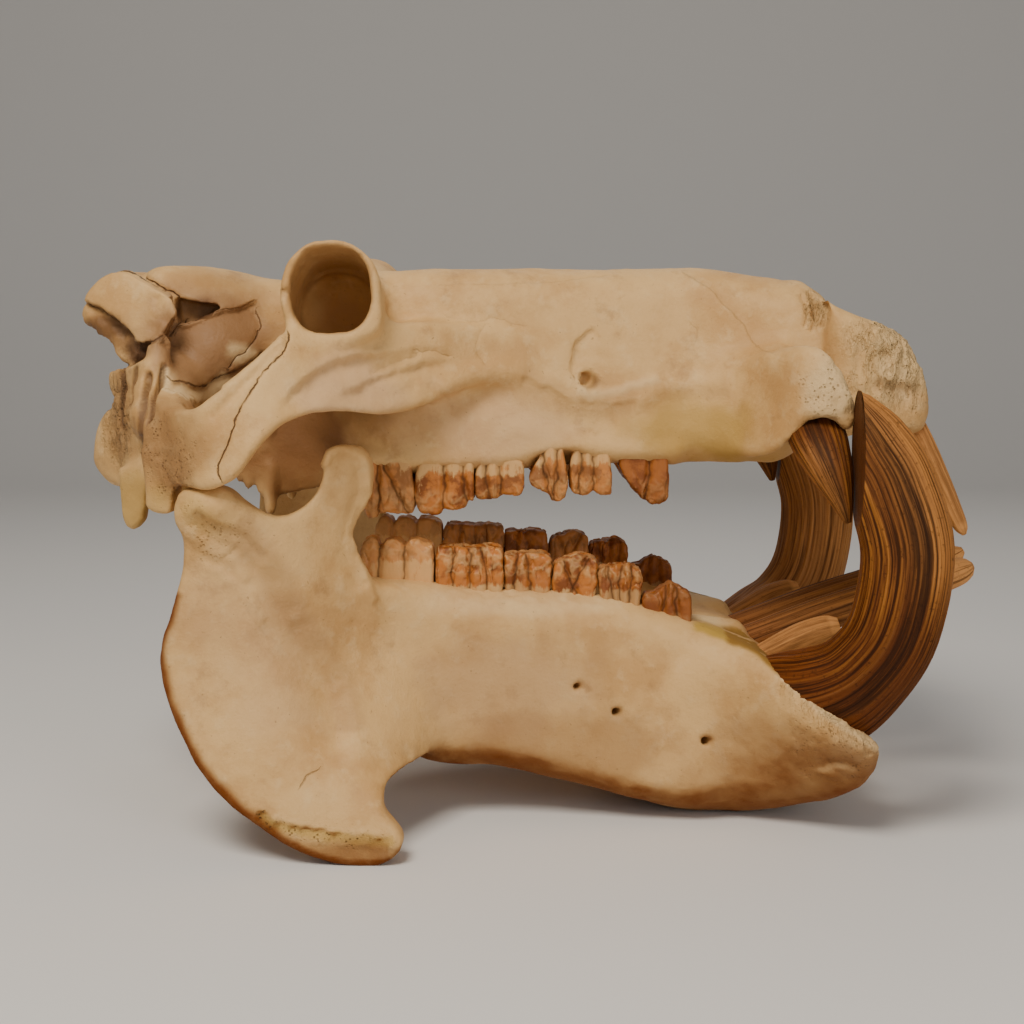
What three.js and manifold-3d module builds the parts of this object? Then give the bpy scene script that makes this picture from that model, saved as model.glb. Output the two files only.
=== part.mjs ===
// Hippopotamus skull: the cranium and the lower jaw, each one bone, and every tooth in a socket of its own.
// Millimetres. +X points to the snout, +Z is up and y = 0 is the plane that the skull is symmetric about.
// The origin lies on the surface that the jaw stands on, under the middle of the whole skull.
import * as THREE from "three";
import { mergeVertices } from "three/addons/utils/BufferGeometryUtils.js";
import Module from "manifold-3d";

const wasm = await Module();
wasm.setup();

const { smoothstep, lerp, degToRad } = THREE.MathUtils;

// Driving dimensions
const SOCKET_GAP = 0.4; // air between a tooth and the wall of its socket
const SHEATH = 9; // bone around the root of a tusk
const ROOF = 406; // height of the flat forehead and muzzle
const PALATE = 260; // height of the edge of the upper sockets
const TUSK_CENTRE = { x: 121, z: 199 }; // centre of the arc that the lower tusks follow
const TUSK_ARC = 132; // radius of that arc at the middle of the tusk
const TUSK_WIDTH = 67; // size of a lower tusk in the plane of its arc
const TUSK_THICKNESS = 46; // size of a lower tusk across its arc
const TUSK_WEAR = 220; // the upper tusk has worn the lower one flat at this x
const UPPER_TUSK_WEAR = 216; // and the lower tusk has worn the upper one flat here
const WEAR_BASE = 170; // the wear on a lower tusk starts at this height

// Cranium from the back of the head to the snout: half width, lower and upper edge, squareness
const CRANIUM = [
  { x: -322, half: 44, low: 296, high: 398, power: 2.2 },
  { x: -296, half: 76, low: 280, high: 410, power: 2.4 },
  { x: -255, half: 72, low: 276, high: 410, power: 2.4 },
  { x: -205, half: 52, low: 282, high: 401, power: 2.4 },
  { x: -160, half: 66, low: 272, high: 399, power: 2.6 },
  { x: -115, half: 90, low: PALATE, high: ROOF, power: 3.4 },
  { x: -50, half: 87, low: PALATE, high: ROOF, power: 3.2 },
  { x: 20, half: 82, low: PALATE, high: ROOF, power: 3.2 },
  { x: 80, half: 74, low: PALATE, high: ROOF, power: 3.2 },
  { x: 127, half: 72, low: PALATE, high: ROOF + 1, power: 3 },
  { x: 160, half: 86, low: PALATE, high: 402, power: 2.8 },
  { x: 195, half: 122, low: 272, high: 396, power: 2.6 },
  { x: 222, half: 112, low: 284, high: 380, power: 2.8 },
  { x: 255, half: 100, low: 288, high: 366, power: 3 },
  { x: 280, half: 96, low: 289, high: 346, power: 3 },
  { x: 292, half: 86, low: 294, high: 320, power: 2.4 },
];

// Eye socket: middle line with its radius, from the forehead out to the rim, and the hollow in it
const ORBIT = [
  [-141, 36, 362, 32],
  [-141, 88, 374, 36],
  [-141, 147, 389, 34],
];
const EYE = [
  [-141, 68, 384, 15],
  [-141, 152, 390, 28],
];

// Cheekbone: middle line, half thickness across and half height, from the face to the side of the braincase
const CHEEKBONE = [
  [-40, 62, 346, 16, 18],
  [-78, 104, 344, 15, 30],
  [-122, 152, 334, 11, 27],
  [-165, 180, 324, 9, 28],
  [-205, 186, 300, 11, 32],
  [-236, 170, 286, 18, 29],
  [-254, 132, 286, 22, 28],
  [-262, 76, 306, 22, 28],
];

// Crest at the back of the head, from the midline down to the base of the ear
const NECK_CREST = [
  [-300, -20, 394, 13, 17],
  [-302, 40, 390, 12, 19],
  [-292, 92, 362, 11, 17],
  [-276, 112, 322, 11, 17],
  [-266, 116, 296, 12, 14],
];

// Process behind the ear, which hangs beside the neck
const EAR_PROCESS = [
  [-272, 100, 316, 13, 13],
  [-282, 106, 270, 12, 11],
  [-289, 105, 222, 6, 6],
];

// Lip of bone behind the jaw joint
const JOINT_LIP = [
  [-250, 152, 286, 14, 10],
  [-258, 150, 262, 13, 9],
  [-259, 148, 240, 9, 6],
];

// Wing of bone behind the palate: it hangs between the two sides of the lower jaw
const PALATE_WING = [
  [-112, 44, 276, 9, 28],
  [-150, 40, 268, 7, 30],
  [-188, 36, 264, 6, 32],
  [-212, 34, 274, 6, 26],
];

// Side of the lower jaw behind the teeth, seen from the side
const RAMUS_OUTLINE = [
  [-236, 246], [-234, 215], [-242, 175], [-249, 142], [-244, 105], [-223, 62], [-188, 30], [-150, 8],
  [-115, -3], [-97, 1], [-90, 15], [-99, 36], [-102, 50], [-92, 62], [-66, 74], [-62, 150], [-100, 174],
  [-122, 192], [-125, 214], [-115, 242], [-115, 268], [-130, 280], [-144, 269], [-150, 248], [-172, 238],
  [-196, 243], [-216, 250],
];
const RAMUS_THICKNESS = 19;

// Body of the lower jaw under the cheek teeth: inner and outer side, lower and upper edge
const JAW_BODY = [
  { x: -146, inner: 82, outer: 132, low: 116, high: 172 },
  { x: -118, inner: 52, outer: 118, low: 84, high: 179 },
  { x: -85, inner: 49, outer: 112, low: 57, high: 177 },
  { x: -25, inner: 47, outer: 103, low: 43, high: 170 },
  { x: 35, inner: 44, outer: 103, low: 26, high: 168 },
  { x: 85, inner: 36, outer: 107, low: 16, high: 160 },
  { x: 122, inner: 30, outer: 112, low: 12, high: 142 },
];

// Chin, where the two sides of the lower jaw are one: half width, lower and upper edge
const CHIN = [
  { x: 78, half: 86, low: 14, high: 84 },
  { x: 112, half: 112, low: -4, high: 124 },
  { x: 150, half: 136, low: -5, high: 140 },
  { x: 185, half: 170, low: 4, high: 114 },
  { x: 215, half: 180, low: 20, high: 92 },
  { x: 239, half: 176, low: 48, high: 72 },
];

// Cheek teeth: x from back to front, height of the socket's edge, of the worn end, middle across and width
const UPPER_CHEEK_TEETH = {
  molar_3: { back: -126, front: -87.5, edge: PALATE, end: 226, middle: 64, width: 42 },
  molar_2: { back: -86.5, front: -42.5, edge: PALATE, end: 229, middle: 63, width: 43 },
  molar_1: { back: -41.5, front: -5.5, edge: PALATE, end: 241, middle: 62, width: 40 },
  premolar_4: { back: -2, front: 26, edge: PALATE, end: 237, middle: 64, width: 32 },
  premolar_3: { back: 28.5, front: 58, edge: PALATE, end: 239, middle: 61, width: 30 },
  premolar_2: { back: 66, front: 100, edge: PALATE, end: 235, middle: 58, width: 26 },
};
const LOWER_CHEEK_TEETH = {
  molar_3: { back: -128, front: -72.5, edge: 178, end: 205, middle: 70, width: 31 },
  molar_2: { back: -71.5, front: -22, edge: 170, end: 202, middle: 69, width: 33 },
  molar_1: { back: -21, front: 13.5, edge: 168, end: 197, middle: 68, width: 30 },
  premolar_4: { back: 14.5, front: 48, edge: 168, end: 196, middle: 70, width: 27 },
  premolar_3: { back: 49, front: 78, edge: 162, end: 189, middle: 72, width: 24 },
  premolar_2: { back: 80, front: 117, edge: 152, end: 173, middle: 74, width: 21 },
};

// Front teeth: middle line with its radius, from the root to the tip
const FRONT_TEETH = {
  upper_incisor_1: [[272, 30, 312, 10], [283, 31, 284, 11], [298, 32, 252, 10], [312, 33, 220, 5]],
  upper_incisor_2: [[262, 74, 314, 10], [280, 76, 284, 11], [300, 78, 248, 10.5], [318, 80, 212, 5]],
  lower_incisor_1: [
    [120, 27, 104, 12],
    [180, 26, 124, 13.5],
    [260, 25, 152, 13],
    [318, 25, 168, 11],
    [335, 24, 174, 6],
  ],
  lower_incisor_2: [[158, 78, 108, 9], [178, 81, 122, 12], [206, 84, 136, 10], [226, 86, 145, 5]],
};

// Upper tusk: middle line, half thickness across and half width, from the root to the tip
const UPPER_TUSK = [
  [178, 118, 334, 15, 18],
  [185, 138, 304, 19, 23],
  [198, 154, 266, 18, 22],
  [212, 163, 232, 7, 8],
];

// Lower tusk along its arc as [degrees, y], from the root in the chin, forwards and outwards, to the tip
const LOWER_TUSK = [
  [-84, 104],
  [-64, 124],
  [-44, 146],
  [-20, 160],
  [5, 166],
  [30, 166],
  [46, 164],
  [57, 162],
];

// Rounded lumps of bone: middle and the radius along each axis
const UPPER_TUSK_BOSS = { middle: [188, 133, 314], radii: [38, 40, 46] };
const NECK_KNOB = { middle: [-314, 38, 276], radii: [21, 26, 34] };
const JOINT_BLOCK = { middle: [-226, 158, 276], radii: [34, 32, 20] };
const JAW_KNOB = { middle: [-220, 164, 241], radii: [17, 34, 13] };

// Hollows: the nose, the hole for the spinal cord, the gap between the snout bones and a lower tusk's way
const NOSE = { middle: [246, 0, 372], radii: [62, 44, 24] };
const NECK_HOLE = { x: -326, z: 318, radius: 17, depth: 60 };
const SNOUT_GAP = { from: 272, width: 16 };
const TUSK_WAY = [
  [236, 160, 250, 33, 30],
  [236, 158, 326, 30, 27],
];

const finish = (color, roughness) => new THREE.MeshStandardMaterial({ color, roughness, metalness: 0 });
const MATERIALS = {
  bone: finish(0xc9ab80, 0.75),
  cheek: finish(0xb5713a, 0.5),
  tusk: finish(0x8a5526, 0.45),
};

// Points of a ring with rounded corners about a centre, in the plane of two directions
function ring(centre, across, up, halfAcross, halfUp, power, count) {
  const corner = (value) => Math.sign(value) * Math.abs(value) ** (2 / power);
  return Array.from({ length: count }, (_, i) => {
    const angle = (2 * Math.PI * (i + 0.5)) / count;
    return centre
      .clone()
      .addScaledVector(across, halfAcross * corner(Math.cos(angle)))
      .addScaledVector(up, halfUp * corner(Math.sin(angle)));
  });
}

// Closed skin over a row of rings with the same number of points
function loft(rings) {
  const count = rings[0].length;
  const middle = (points) => points.reduce((sum, p) => sum.add(p), new THREE.Vector3()).divideScalar(count);
  const points = [...rings.flat(), middle(rings[0]), middle(rings.at(-1))];
  const firstCap = points.length - 2;
  const lastCap = points.length - 1;
  const lastRing = (rings.length - 1) * count;
  const index = [];
  for (let j = 0; j < count; j++) {
    const next = (j + 1) % count;
    for (let i = 0; i < lastRing; i += count) {
      index.push(i + j, i + next, i + count + next, i + j, i + count + next, i + count + j);
    }
    index.push(firstCap, next, j, lastCap, lastRing + j, lastRing + next);
  }
  return new THREE.BufferGeometry().setFromPoints(points).setIndex(index);
}

const ALONG = new THREE.Vector3(1, 0, 0);
const ACROSS = new THREE.Vector3(0, 1, 0);
const UP = new THREE.Vector3(0, 0, 1);

// Skin along X over stations that are each mirrored about their own middle
function loftAlongX(stations, count) {
  const rings = stations.map(({ x, half, inner = -half, outer = half, low, high, power = 2.8 }) => {
    const centre = new THREE.Vector3(x, (inner + outer) / 2, (low + high) / 2);
    return ring(centre, ACROSS, UP, (outer - inner) / 2, (high - low) / 2, power, count);
  });
  return loft(rings);
}

// Skin along a smooth line through [x, y, z, half across, half up]; a round bar gives one radius
function sweep(line, { count = 8, steps = 8, upright = UP, power = 2.3, grow = 0 } = {}) {
  const path = new THREE.CatmullRomCurve3(line.map(([x, y, z]) => new THREE.Vector3(x, y, z)));
  const sizes = new THREE.CatmullRomCurve3(line.map(([, , , a, b = a]) => new THREE.Vector3(a, b, 0)));
  const rings = Array.from({ length: steps + 1 }, (_, i) => {
    const t = i / steps;
    const ahead = path.getTangent(t);
    const across = upright.clone().cross(ahead).normalize();
    const up = ahead.clone().cross(across);
    const size = sizes.getPoint(t);
    const end = i === 0 ? -grow : i === steps ? grow : 0;
    const centre = path.getPoint(t).addScaledVector(ahead, end);
    return ring(centre, across, up, size.x + grow, size.y + grow, power, count);
  });
  return loft(rings);
}

// Ball with its own radius along each axis
function ball({ middle, radii }) {
  return new THREE.SphereGeometry(1, 10, 5).scale(...radii).translate(...middle);
}

// The same geometry on the other side of the midline
function mirrored(geometry) {
  const other = geometry.clone().scale(1, -1, 1);
  return turned(other);
}

// The same faces, pointing the other way
function turned(geometry) {
  const source = geometry.index ? geometry : mergeVertices(geometry);
  const index = Array.from(source.index.array);
  for (let i = 0; i < index.length; i += 3) {
    [index[i + 1], index[i + 2]] = [index[i + 2], index[i + 1]];
  }
  return source.setIndex(index);
}

function solid(geometry) {
  const bare = new THREE.BufferGeometry().setAttribute("position", geometry.getAttribute("position"));
  const merged = mergeVertices(bare.setIndex(geometry.index), 1e-4);
  const vertProperties = merged.getAttribute("position").array;
  const triVerts = new Uint32Array(merged.index.array);
  return new wasm.Manifold(new wasm.Mesh({ numProp: 3, vertProperties, triVerts }));
}

function geometryOf(body) {
  const { vertProperties, triVerts } = body.getMesh();
  const geometry = new THREE.BufferGeometry();
  geometry.setAttribute("position", new THREE.BufferAttribute(vertProperties, 3));
  return geometry.setIndex(new THREE.BufferAttribute(triVerts, 1));
}

const both = (geometry) => [solid(geometry), solid(mirrored(geometry))];
const join = (bodies) => bodies.reduce((whole, body) => whole.add(body));
const cut = (body, tools) => tools.reduce((rest, tool) => rest.subtract(tool), body);

// Cheek tooth: a block on a shorter root, with a waist between its front and back lobe
function cheekTooth({ back, front, edge, end, middle, width }, grow = 0) {
  const WAIST = 0.16;
  const ROOT_DEPTH = 13;
  const down = Math.sign(end - edge);
  const levels = [
    { z: edge - down * (ROOT_DEPTH + grow), size: 0.76 },
    { z: lerp(edge, end, 0.4), size: 1 },
    { z: end + down * grow, size: 0.88 },
  ];
  const halfLength = (front - back) / 2;
  const rings = levels.map(({ z, size }) => {
    const centre = new THREE.Vector3((back + front) / 2, middle, z);
    const points = ring(centre, ALONG, ACROSS, halfLength * size + grow, (width / 2) * size + grow, 3.2, 8);
    for (const p of points) {
      const waist = WAIST * Math.exp(-(((p.x - centre.x) / (halfLength * 0.4)) ** 2));
      p.y = lerp(p.y, centre.y, waist);
    }
    return points;
  });
  return down > 0 ? loft(rings) : loft(rings.reverse());
}

// Bar along a stretch of a lower tusk's arc, which tapers to its tip
function tuskBar(spread, steps, grow) {
  const line = spread.map(([degrees, y]) => {
    const angle = degToRad(degrees);
    const taper = 1 - 0.5 * smoothstep(degrees, 32, 57);
    const arc = TUSK_ARC + (TUSK_WIDTH / 2) * (1 - taper) * 0.35;
    const x = TUSK_CENTRE.x + arc * Math.cos(angle);
    const z = TUSK_CENTRE.z + arc * Math.sin(angle);
    return [x, y, z, (TUSK_THICKNESS / 2) * taper, (TUSK_WIDTH / 2) * taper];
  });
  const inward = new THREE.Vector3(-1, 0, 0);
  return sweep(line, { steps, upright: inward, power: 2.6, grow });
}

const lowerTusk = (grow = 0) => tuskBar(LOWER_TUSK, 12, grow);
const tuskSheath = () => tuskBar(LOWER_TUSK.slice(0, 3), 3, SHEATH);

// Slab that takes away what lies between two values of x, above a height, on the left side
function wearSlab(from, to, low) {
  const HIGH = 400;
  const middle = [(from + to) / 2, HIGH / 2, (low + HIGH) / 2];
  return new THREE.BoxGeometry(to - from, HIGH, HIGH - low).translate(...middle);
}

// Ramus: an outlined plate, bent outwards from the tooth row to the corner of the jaw
function ramus() {
  const shape = new THREE.Shape();
  const [first, ...rest] = [...RAMUS_OUTLINE, RAMUS_OUTLINE[0]].map(([x, z]) => new THREE.Vector2(x, z));
  shape.moveTo(first.x, first.y).splineThru(rest);
  const BEVEL = 7;
  const plate = new THREE.ExtrudeGeometry(shape, {
    depth: RAMUS_THICKNESS - 2 * BEVEL,
    curveSegments: 1,
    bevelThickness: BEVEL,
    bevelSize: BEVEL * 0.8,
    bevelOffset: -BEVEL * 0.8,
    bevelSegments: 1,
  });
  const place = plate.getAttribute("position");
  for (let i = 0; i < place.count; i++) {
    const [x, z, depth] = [place.getX(i), place.getY(i), place.getZ(i)];
    const atTeeth = 82 + 85 * smoothstep(-x, 50, 200);
    const corner = (1 - smoothstep(z, 15, 150)) * smoothstep(-x, 50, 125);
    place.setXYZ(i, x, lerp(atTeeth, 190, corner) + depth, z);
  }
  plate.deleteAttribute("normal");
  plate.deleteAttribute("uv");
  return turned(mergeVertices(plate, 1e-3));
}

const SIDES = { right: mirrored, left: (geometry) => geometry };
const teeth = [];

// Adds a tooth on both sides, with the tool that cuts its socket
function addTooth(jaw, kind, material, geometry, socket) {
  for (const [side, place] of Object.entries(SIDES)) {
    const name = `${jaw}_${side}_${kind}`;
    teeth.push({ jaw, name, material, body: solid(place(geometry)), tool: solid(place(socket)) });
  }
}

for (const [jaw, row] of Object.entries({ upper: UPPER_CHEEK_TEETH, lower: LOWER_CHEEK_TEETH })) {
  for (const [kind, size] of Object.entries(row)) {
    addTooth(jaw, kind, MATERIALS.cheek, cheekTooth(size), cheekTooth(size, SOCKET_GAP));
  }
}
for (const [name, line] of Object.entries(FRONT_TEETH)) {
  const [jaw, ...kind] = name.split("_");
  const steps = line.length;
  const socket = sweep(line, { steps, grow: SOCKET_GAP });
  addTooth(jaw, kind.join("_"), MATERIALS.tusk, sweep(line, { steps }), socket);
}

const upperTusk = (grow = 0) => sweep(UPPER_TUSK, { steps: 6, upright: ALONG, grow });
const behindLowerTusk = solid(wearSlab(TUSK_WEAR - 120, TUSK_WEAR, WEAR_BASE));
const aheadOfUpperTusk = solid(wearSlab(UPPER_TUSK_WEAR, UPPER_TUSK_WEAR + 120, 0));
const wornUpperTusk = geometryOf(solid(upperTusk()).subtract(aheadOfUpperTusk));
const wornLowerTusk = geometryOf(solid(lowerTusk()).subtract(behindLowerTusk));
addTooth("upper", "canine", MATERIALS.tusk, wornUpperTusk, upperTusk(SOCKET_GAP));
addTooth("lower", "canine", MATERIALS.tusk, wornLowerTusk, lowerTusk(SOCKET_GAP));

const socketsOf = (jaw) => teeth.filter((tooth) => tooth.jaw === jaw).map(({ tool }) => tool);

function cranium() {
  const whole = join([
    solid(loftAlongX(CRANIUM, 14)),
    ...both(sweep(CHEEKBONE, { steps: 10 })),
    ...both(sweep(ORBIT, { count: 14, steps: 3, power: 2 })),
    ...both(ball(JOINT_BLOCK)),
    ...both(sweep(JOINT_LIP, { steps: 4, upright: ALONG })),
    ...both(ball(UPPER_TUSK_BOSS)),
    ...both(sweep(NECK_CREST, { steps: 5, upright: ALONG })),
    ...both(sweep(EAR_PROCESS, { steps: 4, upright: ALONG })),
    ...both(sweep(PALATE_WING, { steps: 4 })),
    ...both(ball(NECK_KNOB)),
  ]);
  const eye = sweep(EYE, { count: 14, steps: 1, power: 2 });
  const snoutGap = new THREE.BoxGeometry(60, SNOUT_GAP.width, 160).translate(SNOUT_GAP.from + 30, 0, 320);
  const { x, z, radius, depth } = NECK_HOLE;
  const neckHole = new THREE.CylinderGeometry(radius, radius, depth, 14).rotateZ(Math.PI / 2);
  const tuskWay = sweep(TUSK_WAY, { steps: 1, upright: ALONG });
  return cut(whole, [
    ...both(eye),
    solid(ball(NOSE)),
    solid(snoutGap),
    solid(neckHole.translate(x, 0, z)),
    ...both(tuskWay),
    ...socketsOf("upper"),
  ]);
}

function mandible() {
  const whole = join([
    solid(loftAlongX(CHIN, 14)),
    ...both(tuskSheath()),
    ...both(loftAlongX(JAW_BODY, 10)),
    ...both(ramus()),
    ...both(ball(JAW_KNOB)),
  ]);
  const floor = new THREE.BoxGeometry(900, 600, 50).translate(0, 0, -25);
  return cut(whole, [solid(floor), ...socketsOf("lower")]);
}

// Mesh of one piece, named as its node
function piece(name, body, material) {
  const mesh = new THREE.Mesh(geometryOf(body), material);
  mesh.name = name;
  return mesh;
}

const skull = new THREE.Group();
skull.add(piece("cranium", cranium(), MATERIALS.bone), piece("mandible", mandible(), MATERIALS.bone));
for (const { name, body, material } of teeth) {
  skull.add(piece(name, body, material));
}

export default skull;
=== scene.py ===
"""Looks of a hippopotamus skull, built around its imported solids.

Shapes are worked out in millimetres in the part's own frame: +X to the snout, +Z up, y = 0 on the midline.
The bones are grown as fields of distance and then skinned; meshes are in metres.
"""

import logging
import math
from dataclasses import dataclass, field
from enum import Enum
from typing import Protocol, Sequence

import bpy
import numpy as np
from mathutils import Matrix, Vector


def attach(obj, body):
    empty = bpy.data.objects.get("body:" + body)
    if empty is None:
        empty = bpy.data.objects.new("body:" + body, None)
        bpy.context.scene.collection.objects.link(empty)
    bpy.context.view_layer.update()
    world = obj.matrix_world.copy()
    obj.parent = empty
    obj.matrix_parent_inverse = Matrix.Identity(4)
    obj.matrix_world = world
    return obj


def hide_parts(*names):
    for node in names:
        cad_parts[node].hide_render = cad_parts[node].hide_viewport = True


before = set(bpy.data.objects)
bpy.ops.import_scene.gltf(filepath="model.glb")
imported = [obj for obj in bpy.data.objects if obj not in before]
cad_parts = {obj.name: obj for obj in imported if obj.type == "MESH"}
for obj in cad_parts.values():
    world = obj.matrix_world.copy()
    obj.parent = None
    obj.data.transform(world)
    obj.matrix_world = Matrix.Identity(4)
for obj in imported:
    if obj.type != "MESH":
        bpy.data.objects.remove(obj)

LOG = logging.getLogger("skull")
Array = np.ndarray
Point = tuple[float, float, float]
Stop = tuple[float, ...]

MM = 0.001
BODY = "root"
FAR = 1000.0
BONE_STEP = 1.9
CROWN_STEP = 0.75
BONE_TRIANGLES = 190_000


class Slot(Enum):
    """Names of material slots; nothing here uses them."""

    BONE = "bone"
    CHEEK = "cheek_teeth"
    TUSK = "tusk"


class Side(Enum):
    """Sides of the skull, with the sign of y there."""

    RIGHT = -1
    LEFT = 1


def smoothstep(low: float, high: float, value: Array) -> Array:
    """Eases from 0 at low to 1 at high."""
    t = np.clip((value - low) / (high - low), 0.0, 1.0)
    return t * t * (3.0 - 2.0 * t)


def value_noise(points: Array, scale: float, seed: int) -> Array:
    """Smooth random field.

    Args:
        points: Rows of places in millimetres.
        scale: Size of its lumps in millimetres.
        seed: Number that picks the pattern.

    Returns:
        One value from -1 to 1 for each row.
    """
    scaled = points / scale
    cell = np.floor(scaled).astype(np.int64)
    part = scaled - cell
    part = part * part * (3.0 - 2.0 * part)
    total = np.zeros(len(points))
    for corner in np.ndindex(2, 2, 2):
        at = cell + np.array(corner)
        key = at[:, 0] * 374761393 + at[:, 1] * 668265263 + at[:, 2] * 974634777 + seed * 144665
        key = ((key ^ (key >> 13)) * 1274126177) & 0xFFFFFFFF
        key = key ^ (key >> 16)
        weight = np.prod(np.where(corner, part, 1.0 - part), axis=1)
        total += weight * (key / 2147483648.0 - 1.0)
    return total


def fractal_noise(points: Array, scale: float, seed: int, octaves: int = 3) -> Array:
    """Sum of noises, each at half the size and half the strength of the one before."""
    layers = [value_noise(points, scale / 2**i, seed + i) / 2**i for i in range(octaves)]
    return np.sum(layers, axis=0)


def smooth_curve(stops: Sequence[Stop], places: Array) -> Array:
    """Smooth curve through stops whose first number is the place along it.

    Args:
        stops: Rows that start with a rising place.
        places: Where the curve is wanted.

    Returns:
        The other columns of the stops at each place.
    """
    table = np.array(stops, float)
    knots, rows = table[:, 0], table[:, 1:]
    slopes = np.gradient(rows, knots, axis=0)
    places = np.clip(places, knots[0], knots[-1])
    i = np.clip(np.searchsorted(knots, places) - 1, 0, len(knots) - 2)
    gap = (knots[i + 1] - knots[i])[:, None]
    t = ((places - knots[i]) / gap[:, 0])[:, None]
    start, end = rows[i], rows[i + 1]
    ease = t * t * (3.0 - 2.0 * t)
    bend = t * (1.0 - t) * ((1.0 - t) * slopes[i] - t * slopes[i + 1]) * gap
    return start + (end - start) * ease + bend


def smooth_line(stops: Sequence[Stop], steps: int) -> Array:
    """Evenly numbered points of a smooth line through stops."""
    numbered = [(float(i), *stop) for i, stop in enumerate(stops)]
    return smooth_curve(numbered, np.linspace(0.0, len(stops) - 1.0, steps + 1))


def closed_line(outline: Sequence[Stop], steps: int) -> Array:
    """Evenly numbered points of a smooth closed line through the points of an outline."""
    return smooth_line([*outline, outline[0]], steps)[:-1]


def outline_distance(outline: Array, x: Array, z: Array) -> Array:
    """Signed distance to a closed outline in the X-Z plane, negative inside."""
    best = np.full(x.shape, FAR**2)
    inside = np.zeros(x.shape, bool)
    for (ax, az), (bx, bz) in zip(outline, np.roll(outline, -1, axis=0)):
        ex, ez = bx - ax, bz - az
        t = np.clip(((x - ax) * ex + (z - az) * ez) / max(ex * ex + ez * ez, 1e-9), 0.0, 1.0)
        best = np.minimum(best, (x - ax - t * ex) ** 2 + (z - az - t * ez) ** 2)
        crosses = (az > z) != (bz > z)
        inside ^= crosses & (x < ex * (z - az) / (ez if ez else 1e-9) + ax)
    return np.where(inside, -1.0, 1.0) * np.sqrt(best)


def rounded(past: Array, deep: Array, edge: Array | float) -> Array:
    """Distance from two faces that meet in a rounded edge; both are given from where the rounding starts."""
    outside = np.sqrt(np.maximum(past, 0.0) ** 2 + np.maximum(deep, 0.0) ** 2)
    return outside + np.minimum(np.maximum(past, deep), 0.0) - edge


class Shape(Protocol):
    """Something with a box and a signed distance."""

    def box(self) -> tuple[Array, Array]:
        """Lowest and highest corner."""

    def distance(self, x: Array, y: Array, z: Array) -> Array:
        """Distance from its surface, negative inside."""


@dataclass(frozen=True)
class Ball:
    """Round lump with its own radius along each axis."""

    middle: Point
    radii: Point

    def box(self) -> tuple[Array, Array]:
        """Lowest and highest corner."""
        return np.subtract(self.middle, self.radii), np.add(self.middle, self.radii)

    def distance(self, x: Array, y: Array, z: Array) -> Array:
        """Distance from its surface, negative inside."""
        parts = [(p - m) / r for p, m, r in zip((x, y, z), self.middle, self.radii)]
        reach = np.sqrt(sum(p * p for p in parts)) + 1e-6
        slope = np.sqrt(sum((p / r) ** 2 for p, r in zip(parts, self.radii))) + 1e-6
        return reach * (reach - 1.0) / slope


@dataclass(frozen=True)
class Bar:
    """Bar along a smooth line of (x, y, z, half across, half up); one radius makes it round."""

    stops: Sequence[Stop]
    upright: Point = (0.0, 0.0, 1.0)
    steps: int = 18

    def rows(self) -> Array:
        """Points of the line with their two half sizes."""
        stops = [stop if len(stop) == 5 else (*stop, stop[3]) for stop in self.stops]
        return smooth_line(stops, self.steps)

    def box(self) -> tuple[Array, Array]:
        """Lowest and highest corner."""
        rows = self.rows()
        reach = rows[:, 3:].max(axis=1, keepdims=True)
        return (rows[:, :3] - reach).min(axis=0), (rows[:, :3] + reach).max(axis=0)

    def distance(self, x: Array, y: Array, z: Array) -> Array:
        """Distance from its surface, negative inside."""
        rows = self.rows()
        best = np.full(np.broadcast_shapes(x.shape, y.shape, z.shape), FAR, np.float32)
        for a, b in zip(rows[:-1], rows[1:]):
            way = b[:3] - a[:3]
            length = np.linalg.norm(way)
            ahead = way / length
            across = np.cross(self.upright, ahead)
            across /= np.linalg.norm(across)
            up = np.cross(ahead, across)
            px, py, pz = x - a[0], y - a[1], z - a[2]
            t = np.clip((px * way[0] + py * way[1] + pz * way[2]) / length**2, 0.0, 1.0)
            qx, qy, qz = px - t * way[0], py - t * way[1], pz - t * way[2]
            wide = a[3] + t * (b[3] - a[3])
            tall = a[4] + t * (b[4] - a[4])
            least = np.minimum(wide, tall)
            du = (qx * across[0] + qy * across[1] + qz * across[2]) / wide
            dv = (qx * up[0] + qy * up[1] + qz * up[2]) / tall
            dt = (qx * ahead[0] + qy * ahead[1] + qz * ahead[2]) / least
            reach = np.sqrt(du * du + dv * dv + dt * dt) + 1e-6
            slope = np.sqrt((du / wide) ** 2 + (dv / tall) ** 2 + (dt / least) ** 2) + 1e-6
            best = np.minimum(best, reach * (reach - 1.0) / slope)
        return best


@dataclass(frozen=True)
class Loft:
    """Body along X over stations (x, half at the top, half at the bottom, low, high, corner radius)."""

    stations: Sequence[Stop]
    offset: float = 0.0

    def box(self) -> tuple[Array, Array]:
        """Lowest and highest corner."""
        table = np.array(self.stations)
        wide = table[:, 1:3].max() + abs(self.offset)
        low = (table[0, 0], -wide, table[:, 3].min())
        return np.array(low), np.array((table[-1, 0], wide, table[:, 4].max()))

    def distance(self, x: Array, y: Array, z: Array) -> Array:
        """Distance from its surface, negative inside."""
        sizes = smooth_curve(self.stations, x.ravel())
        top, bottom, low, high, corner = (column.reshape(x.shape) for column in sizes.T)
        half = bottom + (top - bottom) * np.clip((z - low) / (high - low), 0.0, 1.0)
        side = np.abs(y - self.offset) - half + corner
        rise = np.abs(z - (low + high) / 2.0) - (high - low) / 2.0 + corner
        ends = np.maximum(self.stations[0][0] - x, x - self.stations[-1][0])
        return np.maximum(rounded(side, rise, corner), ends)


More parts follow.
